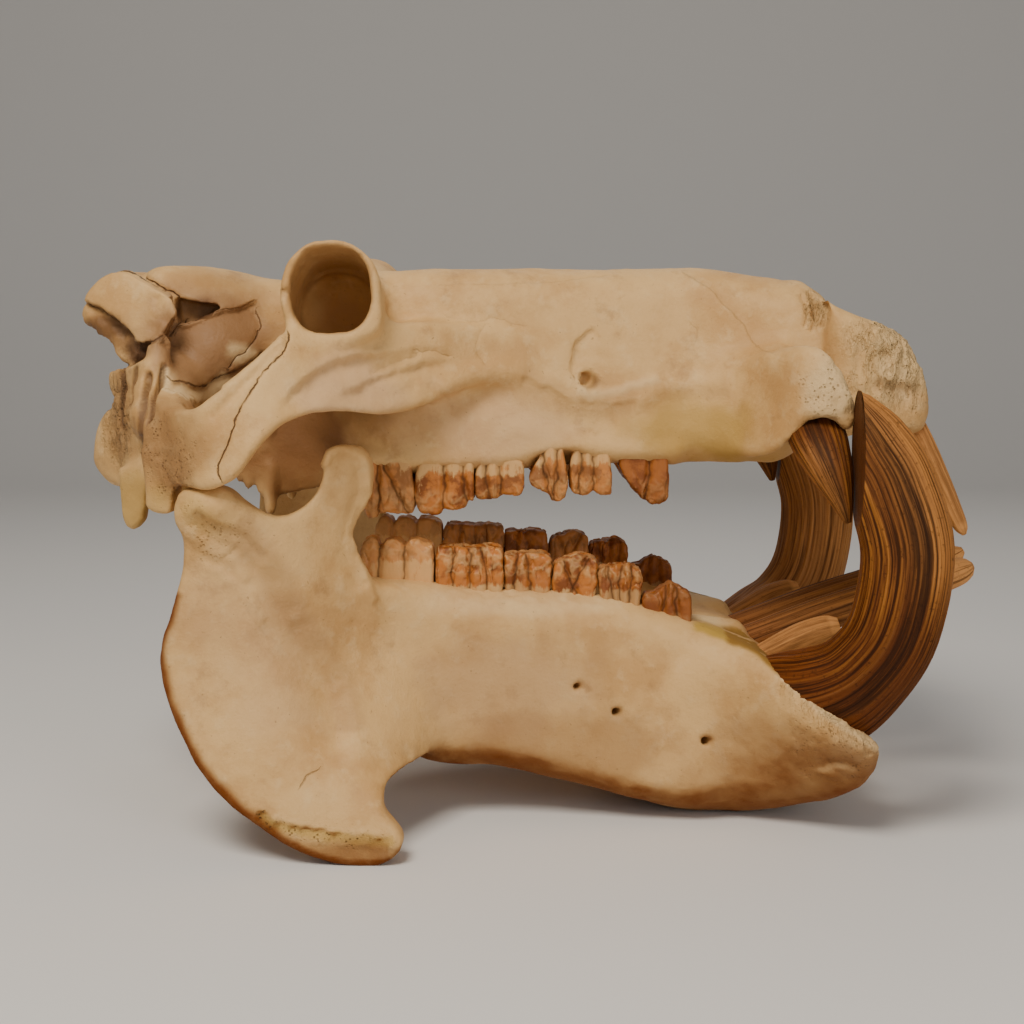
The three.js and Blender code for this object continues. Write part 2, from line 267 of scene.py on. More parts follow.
@dataclass(frozen=True)
class Plate:
    """Outlined plate standing along the side: points (x, z), and a spine that says how far out it lies.

    Spine stops are (x, y, lean of y per unit of z, half thickness); y is meant at the level.
    With a tilt the outline sinks towards the midline.
    """

    outline: Sequence[tuple[float, float]]
    spine: Sequence[Stop]
    level: float = 0.0
    edge: float = 5.0
    tilt: float = 0.0

    def rim(self) -> Array:
        """Dense smooth outline."""
        return closed_line(self.outline, 4 * len(self.outline))

    def lie(self, x: Array, z: Array) -> tuple[Array, Array]:
        """Middle of the plate and half its thickness at places in the X-Z plane."""
        y, lean, half = smooth_curve(self.spine, x.ravel()).T
        return y.reshape(x.shape) + lean.reshape(x.shape) * (z - self.level), half.reshape(x.shape)

    def box(self) -> tuple[Array, Array]:
        """Lowest and highest corner."""
        rim = self.rim()
        low, high = rim.min(axis=0), rim.max(axis=0)
        middle, half = self.lie(rim[:, 0], rim[:, 1])
        least, most = (middle - half).min(), (middle + half).max()
        drop = self.tilt * (most - least)
        return np.array((low[0], least, low[1] - drop)), np.array((high[0], most, high[1]))

    def distance(self, x: Array, y: Array, z: Array) -> Array:
        """Distance from its surface, negative inside."""
        if self.tilt:
            z = z + self.tilt * (self.box()[1][1] - y)
        flat_x, flat_z = np.broadcast_arrays(x, z)
        middle, half = self.lie(flat_x, flat_z)
        past = outline_distance(self.rim(), flat_x, flat_z) + self.edge
        deep = np.abs(y - middle) - half + self.edge
        return rounded(past, deep, self.edge)


class Block:
    """Grid of distances, in which shapes are joined and cut."""

    def __init__(self, low: Point, high: Point, step: float) -> None:
        """Starts with nothing in it.

        Args:
            low: Lowest corner.
            high: Highest corner.
            step: Size of a cell.
        """
        self.step = step
        self.axes = [np.arange(a, b + step, step, dtype=np.float32) for a, b in zip(low, high)]
        self.values = np.full([len(axis) for axis in self.axes], FAR, np.float32)

    def part(self, shape: Shape, margin: float) -> tuple[tuple[slice, ...], list[Array]]:
        """Cells near a shape.

        Args:
            shape: Shape whose box is wanted.
            margin: Room around that box.

        Returns:
            The slices of those cells, and their coordinates ready for broadcasting.
        """
        low, high = shape.box()
        slices = []
        for axis, a, b in zip(self.axes, low, high):
            first = int(np.searchsorted(axis, a - margin))
            last = int(np.searchsorted(axis, b + margin))
            slices.append(slice(first, last))
        grids = [self.axes[0][slices[0], None, None], self.axes[1][None, slices[1], None]]
        grids.append(self.axes[2][None, None, slices[2]])
        return tuple(slices), grids

    def join(self, shape: Shape, blend: float = 8.0, sign: float = 1.0) -> None:
        """Adds a shape, with a fillet about as wide as blend; the sign -1 adds it to the outside."""
        where, grids = self.part(shape, blend + 4 * self.step)
        old = sign * self.values[where]
        new = shape.distance(*grids)
        fillet = np.maximum(blend - np.abs(old - new), 0.0) / blend
        self.values[where] = sign * (np.minimum(old, new) - fillet * fillet * blend / 4.0)

    def cut(self, shape: Shape, blend: float = 4.0) -> None:
        """Takes a shape away, with an edge rounded by about blend."""
        self.join(shape, blend, -1.0)

    def mirrored(self) -> "Block":
        """The same block with its other half, for a grid that starts half a cell from the midline."""
        whole = Block((0.0, 0.0, 0.0), (0.0, 0.0, 0.0), self.step)
        whole.axes = [self.axes[0], np.concatenate((-self.axes[1][::-1], self.axes[1])), self.axes[2]]
        whole.values = np.concatenate((self.values[:, ::-1], self.values), axis=1)
        return whole

    def skin(self) -> tuple[Array, Array]:
        """Surface where the distance is zero.

        Returns:
            Places of the vertices, and quads of their numbers.
        """
        inside = self.values < 0.0
        shape = np.array(inside.shape) - 1
        count = np.zeros(shape, np.uint8)
        corners = list(np.ndindex(2, 2, 2))
        for i, j, k in corners:
            count += inside[i:i + shape[0], j:j + shape[1], k:k + shape[2]]
        cells = np.argwhere((count > 0) & (count < 8))
        number = np.full(shape, -1, np.int64)
        number[tuple(cells.T)] = np.arange(len(cells))
        total = np.zeros((len(cells), 3))
        hits = np.zeros(len(cells))
        for start in corners:
            for axis in range(3):
                if start[axis]:
                    continue
                end = tuple(1 if i == axis else s for i, s in enumerate(start))
                a = self.values[tuple((cells + start).T)]
                b = self.values[tuple((cells + end).T)]
                crosses = (a < 0.0) != (b < 0.0)
                t = np.where(crosses, a / np.where(crosses, a - b, 1.0), 0.0)
                place = np.array(start) + np.eye(3)[axis] * t[:, None]
                total += place * crosses[:, None]
                hits += crosses
        origin = np.array([axis[0] for axis in self.axes])
        places = origin + (cells + total / hits[:, None]) * self.step
        quads = []
        for axis in range(3):
            first = np.moveaxis(inside, axis, 0)
            table = np.moveaxis(number, axis, 0)
            rows, u, v = np.nonzero(first[:-1, 1:-1, 1:-1] != first[1:, 1:-1, 1:-1])
            faces = np.stack([table[rows, u, v], table[rows, u + 1, v], table[rows, u + 1, v + 1],
                              table[rows, u, v + 1]], axis=1)
            turn = first[rows, u + 1, v + 1] == (axis == 1)
            faces[turn] = faces[turn][:, ::-1]
            quads.append(faces)
        return places, np.concatenate(quads)


def make_mesh(name: str, places: Array, faces: Array) -> bpy.types.Mesh:
    """Mesh in metres from places in millimetres.

    Args:
        name: Name of the mesh.
        places: Rows of vertices.
        faces: Rows of vertex numbers.

    Returns:
        The smooth-shaded mesh.
    """
    mesh = bpy.data.meshes.new(name)
    size = faces.shape[1]
    mesh.vertices.add(len(places))
    mesh.vertices.foreach_set("co", (places * MM).astype(np.float32).ravel())
    mesh.loops.add(faces.size)
    mesh.loops.foreach_set("vertex_index", faces.astype(np.int32).ravel())
    mesh.polygons.add(len(faces))
    mesh.polygons.foreach_set("loop_start", np.arange(0, faces.size, size, dtype=np.int32))
    mesh.update(calc_edges=True)
    mesh.polygons.foreach_set("use_smooth", np.ones(len(faces), bool))
    mesh.validate()
    return mesh


def read_vectors(items: bpy.types.bpy_prop_collection, name: str) -> Array:
    """Rows of three numbers from a collection of a mesh."""
    flat = np.empty(len(items) * 3, np.float32)
    items.foreach_get(name, flat)
    return flat.reshape(-1, 3).astype(float)


def places_of(mesh: bpy.types.Mesh) -> Array:
    """Vertices of a mesh in millimetres."""
    return read_vectors(mesh.vertices, "co") / MM


def normals_of(mesh: bpy.types.Mesh) -> Array:
    """Normals of a mesh's vertices."""
    return read_vectors(mesh.vertex_normals, "vector")


def set_places(mesh: bpy.types.Mesh, places: Array) -> None:
    """Moves a mesh's vertices to places in millimetres."""
    mesh.vertices.foreach_set("co", (places * MM).astype(np.float32).ravel())
    mesh.update()


def neighbour_mean(mesh: bpy.types.Mesh, values: Array) -> Array:
    """Mean of values over each vertex's neighbours."""
    edges = np.empty(len(mesh.edges) * 2, np.int32)
    mesh.edges.foreach_get("vertices", edges)
    a, b = edges.reshape(-1, 2).T
    total = np.zeros_like(values)
    count = np.bincount(edges, minlength=len(values)).astype(float)
    for column in range(values.shape[1]):
        total[:, column] += np.bincount(a, values[b, column], len(values))
        total[:, column] += np.bincount(b, values[a, column], len(values))
    return total / np.maximum(count, 1.0)[:, None]


def hollow_of(mesh: bpy.types.Mesh, rounds: int) -> Array:
    """How hollow the surface is around each vertex, in millimetres, negative on ridges."""
    places = places_of(mesh)
    smooth = places
    for _ in range(rounds):
        smooth = neighbour_mean(mesh, smooth)
    return np.sum((smooth - places) * normals_of(mesh), axis=1)


def set_attributes(mesh: bpy.types.Mesh, **found: Array) -> None:
    """Stores numbers on each vertex, by name."""
    for name, values in found.items():
        layer = mesh.attributes.new(name, "FLOAT", "POINT")
        layer.data.foreach_set("value", values.astype(np.float32))


def add_object(name: str, data: bpy.types.ID) -> bpy.types.Object:
    """New object in the scene."""
    item = bpy.data.objects.new(name, data)
    bpy.context.scene.collection.objects.link(item)
    return item


def take_mesh(host: bpy.types.Object) -> bpy.types.Mesh:
    """Mesh of an object with its modifiers applied; the object goes."""
    mesh = bpy.data.meshes.new_from_object(host.evaluated_get(bpy.context.evaluated_depsgraph_get()))
    bpy.data.objects.remove(host)
    return mesh


def thinned(mesh: bpy.types.Mesh, triangles: int) -> bpy.types.Mesh:
    """Mesh with at most so many triangles, thinned where it is flat."""
    host = add_object("thinning", mesh)
    have = sum(len(p.vertices) - 2 for p in mesh.polygons)
    modifier = host.modifiers.new("thin", "DECIMATE")
    modifier.ratio = min(1.0, triangles / have)
    result = take_mesh(host)
    result.polygons.foreach_set("use_smooth", np.ones(len(result.polygons), bool))
    return result


def place_piece(node: str, mesh: bpy.types.Mesh, material: bpy.types.Material) -> None:
    """Puts a finished mesh in the scene in place of a solid.

    Args:
        node: Node that the piece stands for.
        mesh: Its mesh.
        material: Its finish.
    """
    piece = add_object(f"{node}_surface", mesh)
    mesh.materials.clear()
    mesh.materials.append(material)
    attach(piece, BODY)
    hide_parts(node)
    LOG.info("%s: %d faces", node, len(mesh.polygons))


class NodeWriter:
    """Short ways to write a tree of nodes."""

    tree: bpy.types.NodeTree

    def feed(self, socket: bpy.types.NodeSocket, value: object) -> None:
        """Links a socket to another one, or sets its value; None leaves it alone."""
        if isinstance(value, bpy.types.NodeSocket):
            self.tree.links.new(value, socket)
        elif value is not None:
            socket.default_value = value

    def add(self, kind: str, *values: object, **settings: object) -> bpy.types.Node:
        """New node with its properties and the first of its inputs set."""
        node = self.tree.nodes.new(kind)
        for key, value in settings.items():
            setattr(node, key, value)
        for socket, value in zip([s for s in node.inputs if s.enabled], values):
            self.feed(socket, value)
        return node

    def math(self, operation: str, a: object, b: object = None, clamp: bool = False) -> bpy.types.NodeSocket:
        """Result of one operation on numbers."""
        return self.add("ShaderNodeMath", a, b, operation=operation, use_clamp=clamp).outputs[0]

    def plus(self, a: object, b: object) -> bpy.types.NodeSocket:
        """Sum of two numbers."""
        return self.math("ADD", a, b)

    def minus(self, a: object, b: object) -> bpy.types.NodeSocket:
        """Difference of two numbers."""
        return self.math("SUBTRACT", a, b)

    def times(self, a: object, b: object) -> bpy.types.NodeSocket:
        """Product of two numbers."""
        return self.math("MULTIPLY", a, b)

    def most(self, a: object, b: object) -> bpy.types.NodeSocket:
        """Larger of two numbers."""
        return self.math("MAXIMUM", a, b)


class Shader(NodeWriter):
    """Node tree of one material, written from left to right."""

    def __init__(self, name: str) -> None:
        """Starts a material with only its output.

        Args:
            name: Name of the material.
        """
        self.material = bpy.data.materials.new(name)
        self.material.use_nodes = True
        self.tree = self.material.node_tree
        self.tree.nodes.clear()
        self.surface = self.add("ShaderNodeBsdfPrincipled")
        self.add("ShaderNodeOutputMaterial", self.surface.outputs[0])

    def attribute(self, name: str) -> bpy.types.NodeSocket:
        """Number stored on the mesh."""
        return self.add("ShaderNodeAttribute", attribute_name=name).outputs["Fac"]

    def place(self, stretch: Point = (1.0, 1.0, 1.0)) -> bpy.types.NodeSocket:
        """Object coordinates, scaled along each axis."""
        source = self.add("ShaderNodeTexCoord").outputs["Object"]
        if stretch == (1.0, 1.0, 1.0):
            return source
        return self.add("ShaderNodeMapping", source, None, None, stretch).outputs[0]

    def noise(self, vector: bpy.types.NodeSocket, scale: float, detail: float = 4.0,
              rough: float = 0.55) -> bpy.types.NodeSocket:
        """Noise from 0 to 1."""
        return self.add("ShaderNodeTexNoise", vector, scale, detail, rough).outputs[0]

    def cells(self, vector: bpy.types.NodeSocket, scale: float) -> bpy.types.NodeSocket:
        """Distance to the nearest of scattered points, for pits."""
        return self.add("ShaderNodeTexVoronoi", vector, scale).outputs["Distance"]

    def remap(self, value: object, low: float, high: float, to_low: float = 0.0,
              to_high: float = 1.0) -> bpy.types.NodeSocket:
        """Eases a number from one range to another."""
        numbers = (value, low, high, to_low, to_high)
        return self.add("ShaderNodeMapRange", *numbers, interpolation_type="SMOOTHSTEP").outputs[0]

    def mix(self, amount: object, a: object, b: object) -> bpy.types.NodeSocket:
        """Mixes two colours."""
        return self.add("ShaderNodeMix", amount, a, b, data_type="RGBA").outputs[2]

    def bump(self, height: object, strength: float, distance: float,
             under: bpy.types.NodeSocket | None = None) -> bpy.types.NodeSocket:
        """Normal of a surface with that height, over another bump if one is given."""
        node = self.add("ShaderNodeBump")
        names = ("Strength", "Distance", "Height", "Normal")
        for name, value in zip(names, (strength, distance, height, under)):
            self.feed(node.inputs[name], value)
        return node.outputs[0]

    def finish(self, colour: object, rough: object, level: float = 0.5,
               normal: bpy.types.NodeSocket | None = None) -> bpy.types.Material:
        """Sets the surface's colour, roughness, specular level and normal, and returns the material."""
        names = ("Base Color", "Roughness", "Specular IOR Level", "Normal")
        for name, value in zip(names, (colour, rough, level, normal)):
            self.feed(self.surface.inputs[name], value)
        return self.material


def rgba(red: float, green: float, blue: float) -> tuple[float, float, float, float]:
    """Opaque colour."""
    return (red, green, blue, 1.0)


@dataclass(frozen=True)
class BoneFinish:
    """Dry bone: cream to tan, softly mottled, with stains, pitted ends, dark sutures and painted shade in
    hollows and recesses.
    """

    cream: tuple = rgba(0.655, 0.407, 0.160)
    tan: tuple = rgba(0.53, 0.295, 0.103)
    pale: tuple = rgba(0.72, 0.51, 0.255)
    rosy: tuple = rgba(0.58, 0.37, 0.20)
    ochre: tuple = rgba(0.16, 0.040, 0.0022)
    yellow: tuple = rgba(0.47, 0.29, 0.055)
    brown: tuple = rgba(0.255, 0.115, 0.036)
    soil_and_shade: tuple = rgba(0.075, 0.028, 0.009)
    gloss: float = 0.3

    def material(self) -> bpy.types.Material:
        """Builds the material."""
        sh = Shader("dry_bone")
        place = sh.place()
        large = sh.noise(place, 15.0, 6.0, 0.62)
        small = sh.noise(place, 70.0, 6.0, 0.65)
        fine = sh.noise(place, 420.0, 4.0, 0.6)
        colour = sh.mix(sh.remap(large, 0.36, 0.6), self.tan, self.cream)
        colour = sh.mix(sh.remap(small, 0.5, 0.72, 0.0, 0.4), colour, self.pale)
        colour = sh.mix(sh.remap(sh.noise(place, 38.0, 5.0, 0.7), 0.54, 0.74, 0.0, 0.35), colour, self.brown)
        for tint in ("rosy", "yellow", "brown", "pale"):
            colour = sh.mix(sh.attribute(tint), colour, getattr(self, tint))
        ochre = sh.times(sh.attribute("ochre"), sh.remap(small, 0.25, 0.6, 0.85, 1.0))
        colour = sh.mix(ochre, colour, self.ochre)
        line = self.line(sh, place)
        pores = sh.remap(sh.cells(place, 380.0), 0.14, 0.36, 1.0, 0.0)
        patchy = sh.remap(sh.noise(place, 110.0, 3.0), 0.42, 0.6)
        pits = sh.times(sh.times(pores, patchy), sh.attribute("rough"))
        fibres = sh.noise(sh.place((1.0, 1.0, 0.3)), 170.0, 4.0, 0.7)
        gaps = sh.times(sh.remap(fibres, 0.36, 0.56, 1.0, 0.0), sh.attribute("fibre"))
        gravel = sh.times(sh.noise(place, 200.0, 5.0, 0.7), sh.attribute("rough"))
        specks = sh.remap(sh.noise(place, 330.0, 2.0), 0.7, 0.78, 0.0, 0.4)
        # Painted shade: the dark tint holds painted shade of hollows, gaps and recesses along with dark
        # stains; with the sutures, pits and specks it darkens the bone.
        dirt_and_shade = sh.most(sh.most(line, sh.attribute("dark")), specks)
        worn = sh.most(sh.times(pits, 0.5), sh.times(gaps, 0.1))
        dirt_and_shade = sh.most(dirt_and_shade, worn)
        colour = sh.mix(sh.times(dirt_and_shade, 0.92), colour, self.soil_and_shade)
        dull = sh.remap(sh.attribute("ochre"), 0.0, 0.6, 0.5, 0.95)
        dull = sh.most(dull, sh.remap(small, 0.3, 0.7, 0.5, 0.68))
        grain = sh.plus(small, sh.times(fine, 0.35))
        normal = sh.bump(grain, 0.65, 0.0016)
        normal = sh.bump(sh.times(pits, -1.0), 0.9, 0.0016, normal)
        normal = sh.bump(sh.times(line, -1.0), 0.8, 0.0016, normal)
        normal = sh.bump(sh.minus(gravel, gaps), 0.9, 0.0024, normal)
        return sh.finish(colour, dull, self.gloss, normal)

    @staticmethod
    def line(sh: Shader, place: bpy.types.NodeSocket) -> bpy.types.NodeSocket:
        """Uneven dark line where the stored distance to a suture or break is small."""
        sway = sh.times(sh.minus(sh.noise(place, 240.0, 3.0), 0.5), 2.6)
        gap = sh.math("ABSOLUTE", sh.plus(sh.attribute("crack_side"), sway))
        broken = sh.remap(sh.noise(place, 90.0, 2.0), 0.3, 0.5, 0.45, 1.0)
        thin = sh.times(sh.remap(gap, 0.1, 0.85, 1.0, 0.0), broken)
        return sh.times(thin, sh.attribute("crack_near"))


@dataclass(frozen=True)
class EnamelFinish:
    """Stained cheek teeth: orange-brown enamel, pale necks and cusps, painted shade in the grooves and
    painted light on faces towards the midline.
    """

    amber: tuple = rgba(0.46, 0.155, 0.030)
    brown: tuple = rgba(0.20, 0.056, 0.010)
    pale: tuple = rgba(0.62, 0.37, 0.145)
    soil_and_shade: tuple = rgba(0.05, 0.018, 0.006)
    clean: tuple = rgba(0.80, 0.43, 0.155)
    gloss: float = 0.28

    def material(self) -> bpy.types.Material:
        """Builds the material."""
        sh = Shader("stained_enamel")
        place = sh.place()
        blotch = sh.noise(place, 80.0, 5.0, 0.6)
        streak = sh.noise(sh.place((1.0, 1.0, 0.25)), 210.0, 5.0, 0.65)
        uneven = sh.times(sh.minus(streak, 0.5), 2.0)
        patchy = sh.plus(uneven, sh.times(sh.minus(blotch, 0.5), 2.2))
        colour = sh.mix(sh.remap(blotch, 0.43, 0.6), self.amber, self.brown)
        bare = sh.remap(sh.plus(sh.attribute("neck"), patchy), 0.5, 0.9, 0.0, 0.85)
        colour = sh.mix(bare, colour, self.pale)
        winding = sh.noise(place, 72.0, 2.5, 0.55)
        band = sh.math("ABSOLUTE", sh.minus(winding, 0.5))
        fold = sh.times(sh.remap(band, 0.0, 0.1, 0.62, 0.0), sh.attribute("fold"))
        edge = sh.remap(sh.plus(sh.attribute("crest"), uneven), 0.45, 1.0, 0.0, 0.7)
        colour = sh.mix(sh.most(fold, edge), colour, self.pale)
        colour = sh.mix(sh.attribute("stain"), colour, self.brown)
        # Bleach lightens some teeth, and lightens faces towards the midline as painted light.
        colour = sh.mix(sh.attribute("bleach"), colour, self.clean)
        # Painted shade in the grooves and hollows.
        colour = sh.mix(sh.attribute("groove"), colour, self.soil_and_shade)
        dull = sh.remap(sh.attribute("groove"), 0.0, 0.6, 0.36, 0.95)
        dull = sh.most(dull, sh.remap(blotch, 0.3, 0.7, 0.36, 0.56))
        normal = sh.bump(streak, 0.5, 0.0012, sh.bump(fold, 0.6, 0.0018))
        return sh.finish(colour, dull, self.gloss, normal)


@dataclass(frozen=True)
class IvoryFinish:
    """Stained ivory: dark brown with ochre flutes along the tooth; a tone makes some teeth lighter, and
    lightens the far lower tusk as painted light.
    """

    ochre: tuple = rgba(0.32, 0.118, 0.021)
    brown: tuple = rgba(0.095, 0.025, 0.004)
    dark: tuple = rgba(0.020, 0.006, 0.0015)
    light: tuple = rgba(0.65, 0.295, 0.09)
    worn: tuple = rgba(0.09, 0.03, 0.009)
    red: tuple = rgba(0.20, 0.052, 0.010)
    gloss: float = 0.12

    def material(self) -> bpy.types.Material:
        """Builds the material."""
        sh = Shader("stained_ivory")
        ring = sh.add("ShaderNodeAttribute", attribute_name="ring").outputs["Vector"]
        turn, _, far = sh.add("ShaderNodeSeparateXYZ", ring).outputs
        along = sh.add("ShaderNodeVectorMath", ring, (1.0, 1.0, 0.3), operation="MULTIPLY").outputs[0]
        fine = sh.noise(along, 26.0, 4.0, 0.6)
        broad = sh.noise(along, 3.2, 3.0, 0.55)
        speck = sh.noise(sh.place(), 270.0, 4.0, 0.65)
        tone = sh.attribute("tone")
        flute = sh.plus(sh.attribute("flute"), sh.times(sh.minus(fine, 0.5), 0.5))
        colour = sh.mix(sh.remap(flute, 0.46, 0.62), self.brown, self.ochre)
        colour = sh.mix(sh.remap(flute, 0.6, 0.74, 0.0, 0.45), colour, self.light)
        colour = sh.mix(sh.remap(broad, 0.48, 0.7, 0.0, 0.75), colour, self.brown)
        colour = sh.mix(sh.remap(turn, -0.25, -0.8, 0.0, 0.3), colour, self.ochre)
        inner = sh.remap(turn, -0.5, 0.0, 0.0, 0.1)
        upper = sh.times(sh.remap(far, 0.5, 0.75), inner)
        colour = sh.mix(upper, colour, self.brown)
        edge = sh.times(sh.remap(far, 0.5, 0.75), sh.remap(turn, 0.4, -0.5, 0.06, 0.32))
        colour = sh.mix(edge, colour, self.light)
        lower = sh.times(sh.remap(far, 0.64, 0.44), sh.remap(turn, 0.7, 0.0, 0.4, 0.85))
        colour = sh.mix(lower, colour, self.brown)
        colour = sh.mix(sh.remap(far, 0.4, 0.28, 0.0, 0.4), colour, self.red)
        colour = sh.mix(sh.math("MULTIPLY", tone, -1.0, clamp=True), colour, self.brown)
        pale = sh.times(sh.remap(flute, 0.35, 0.7, 0.55, 1.0), tone)
        tip = sh.times(sh.remap(far, 0.86, 0.95), sh.math("MULTIPLY", tone, 4.0, clamp=True))
        pale = sh.most(pale, tip)
        colour = sh.mix(pale, colour, self.light)
        drift = sh.plus(sh.plus(turn, 0.65), sh.times(broad, -0.9))
        band = sh.remap(sh.math("ABSOLUTE", drift), 0.03, 0.17, 0.8, 0.0)
        streak = sh.times(band, sh.remap(fine, 0.36, 0.5))
        colour = sh.mix(sh.times(streak, sh.remap(tone, 0.0, 0.2, 1.0, 0.0)), colour, self.dark)
        groove = sh.times(sh.remap(flute, 0.38, 0.48, 1.0, 0.0), sh.remap(tone, 0.0, 1.0, 0.75, 0.25))
        marks = sh.times(sh.remap(speck, 0.54, 0.72), sh.remap(tone, 0.0, 0.6, 0.55, 0.2))
        colour = sh.mix(sh.most(groove, marks), colour, self.dark)
        colour = sh.mix(sh.times(sh.attribute("worn"), 0.85), colour, self.worn)
        dull = sh.remap(fine, 0.3, 0.7, 0.62, 0.45)
        normal = sh.bump(sh.plus(fine, sh.times(speck, 0.4)), 0.5, 0.0012)
        return sh.finish(colour, dull, self.gloss, normal)


@dataclass(frozen=True)
class TintPatch:
    """Soft patch of a tint on a bone; some are stains and some are painted shade."""

    tint: str
    middle: Point
    radii: Point
    strength: float

    def weight(self, places: Array, wander: Array) -> Array:
        """Strength at each place, both sides of the skull alike; wander makes the border uneven."""
        folded = np.column_stack((places[:, 0], np.abs(places[:, 1]), places[:, 2]))
        reach = np.linalg.norm((folded - self.middle) / self.radii, axis=1)
        return self.strength * (1.0 - smoothstep(0.4, 1.0, reach + wander))


def patches(**rows: Sequence[Stop]) -> tuple[TintPatch, ...]:
    """Stains and patches of painted shade from rows of a middle, three radii and a strength, by tint."""
    return tuple(TintPatch(tint, row[:3], row[3:6], row[6]) for tint, group in rows.items() for row in group)


@dataclass(frozen=True)
class Stroke:
    """Line on the side of a bone, as points (x, z): a ridge, groove, suture, break, stained edge or band of
    painted shade.

    The height is that of a ridge, or below zero of a groove.
    A step moves only the side to the right of the line.
    """

    line: Sequence[tuple[float, float]]
    height: float = 0.0
    width: float = 3.0
    step: bool = False
    ink: float = 0.0
    tint: str = ""
    strength: float = 1.0
    depth: tuple[float, float] = (0.0, FAR)
    side: Side | None = None
    wander: float = 1.0
    soft: float = 1.0
    taper: float = 0.0

    def near(self, places: Array, normals: Array) -> tuple[Array, Array, Array]:
        """Finds the outward vertices along the line.

        Args:
            places: Rows of places in millimetres.
            normals: Normals there.

        Returns:
            Numbers of the vertices, their distance to the line (above zero to its right), and a fade
            towards its ends.
        """
        points = smooth_line(self.line, 6 * (len(self.line) - 1))
        seeds = np.column_stack((points, points[:, :1]))
        points = points + self.wander * np.column_stack([value_noise(seeds, 6.0, seed) for seed in (3, 4)])
        reach = self.width + 7.0
        low, high = points.min(axis=0) - reach, points.max(axis=0) + reach
        across = np.abs(places[:, 1])
        picked = (places[:, 0] > low[0]) & (places[:, 0] < high[0])
        picked &= (places[:, 2] > low[1]) & (places[:, 2] < high[1])
        picked &= (across > self.depth[0]) & (across < self.depth[1])
        picked &= normals[:, 1] * np.sign(places[:, 1]) > 0.0
        if self.side is not None:
            picked &= places[:, 1] * self.side.value > 0.0
        rows = np.nonzero(picked)[0]
        x, z = places[rows, 0], places[rows, 2]
        best, gap, over, along = np.full((4, len(rows)), FAR)
        last = len(points) - 2
        for i, ((ax, az), (bx, bz)) in enumerate(zip(points[:-1], points[1:])):
            ex, ez = bx - ax, bz - az
            length = math.hypot(ex, ez)
            free = ((x - ax) * ex + (z - az) * ez) / length**2
            t = np.clip(free, 0.0, 1.0)
            away = np.hypot(x - ax - t * ex, z - az - t * ez)
            closer = away < best
            best[closer] = away[closer]
            gap[closer] = (away * np.where((x - ax) * ez - (z - az) * ex > 0.0, 1.0, -1.0))[closer]
            before = -free if i == 0 else np.zeros(len(rows))
            after = free - 1.0 if i == last else np.zeros(len(rows))
            over[closer] = (length * np.maximum(np.maximum(before, after), 0.0))[closer]
            along[closer] = (i + t[closer]) / (last + 1)
        fade = 1.0 - smoothstep(0.0, 4.0, over)
        if self.taper:
            fade *= smoothstep(0.0, self.taper, along) * smoothstep(0.0, self.taper, 1.0 - along)
        return rows, gap, fade

    def lift(self, gap: Array) -> Array:
        """How far the surface is moved at these distances from the line."""
        if self.step:
            rise = smoothstep(-self.soft, self.soft, gap)
            return self.height * rise * (1.0 - smoothstep(0.0, self.width, gap))
        return self.height * (1.0 - smoothstep(0.0, self.width, np.abs(gap)))


TINTS = ("pale", "rosy", "yellow", "ochre", "brown", "dark", "rough", "fibre", "crumble")


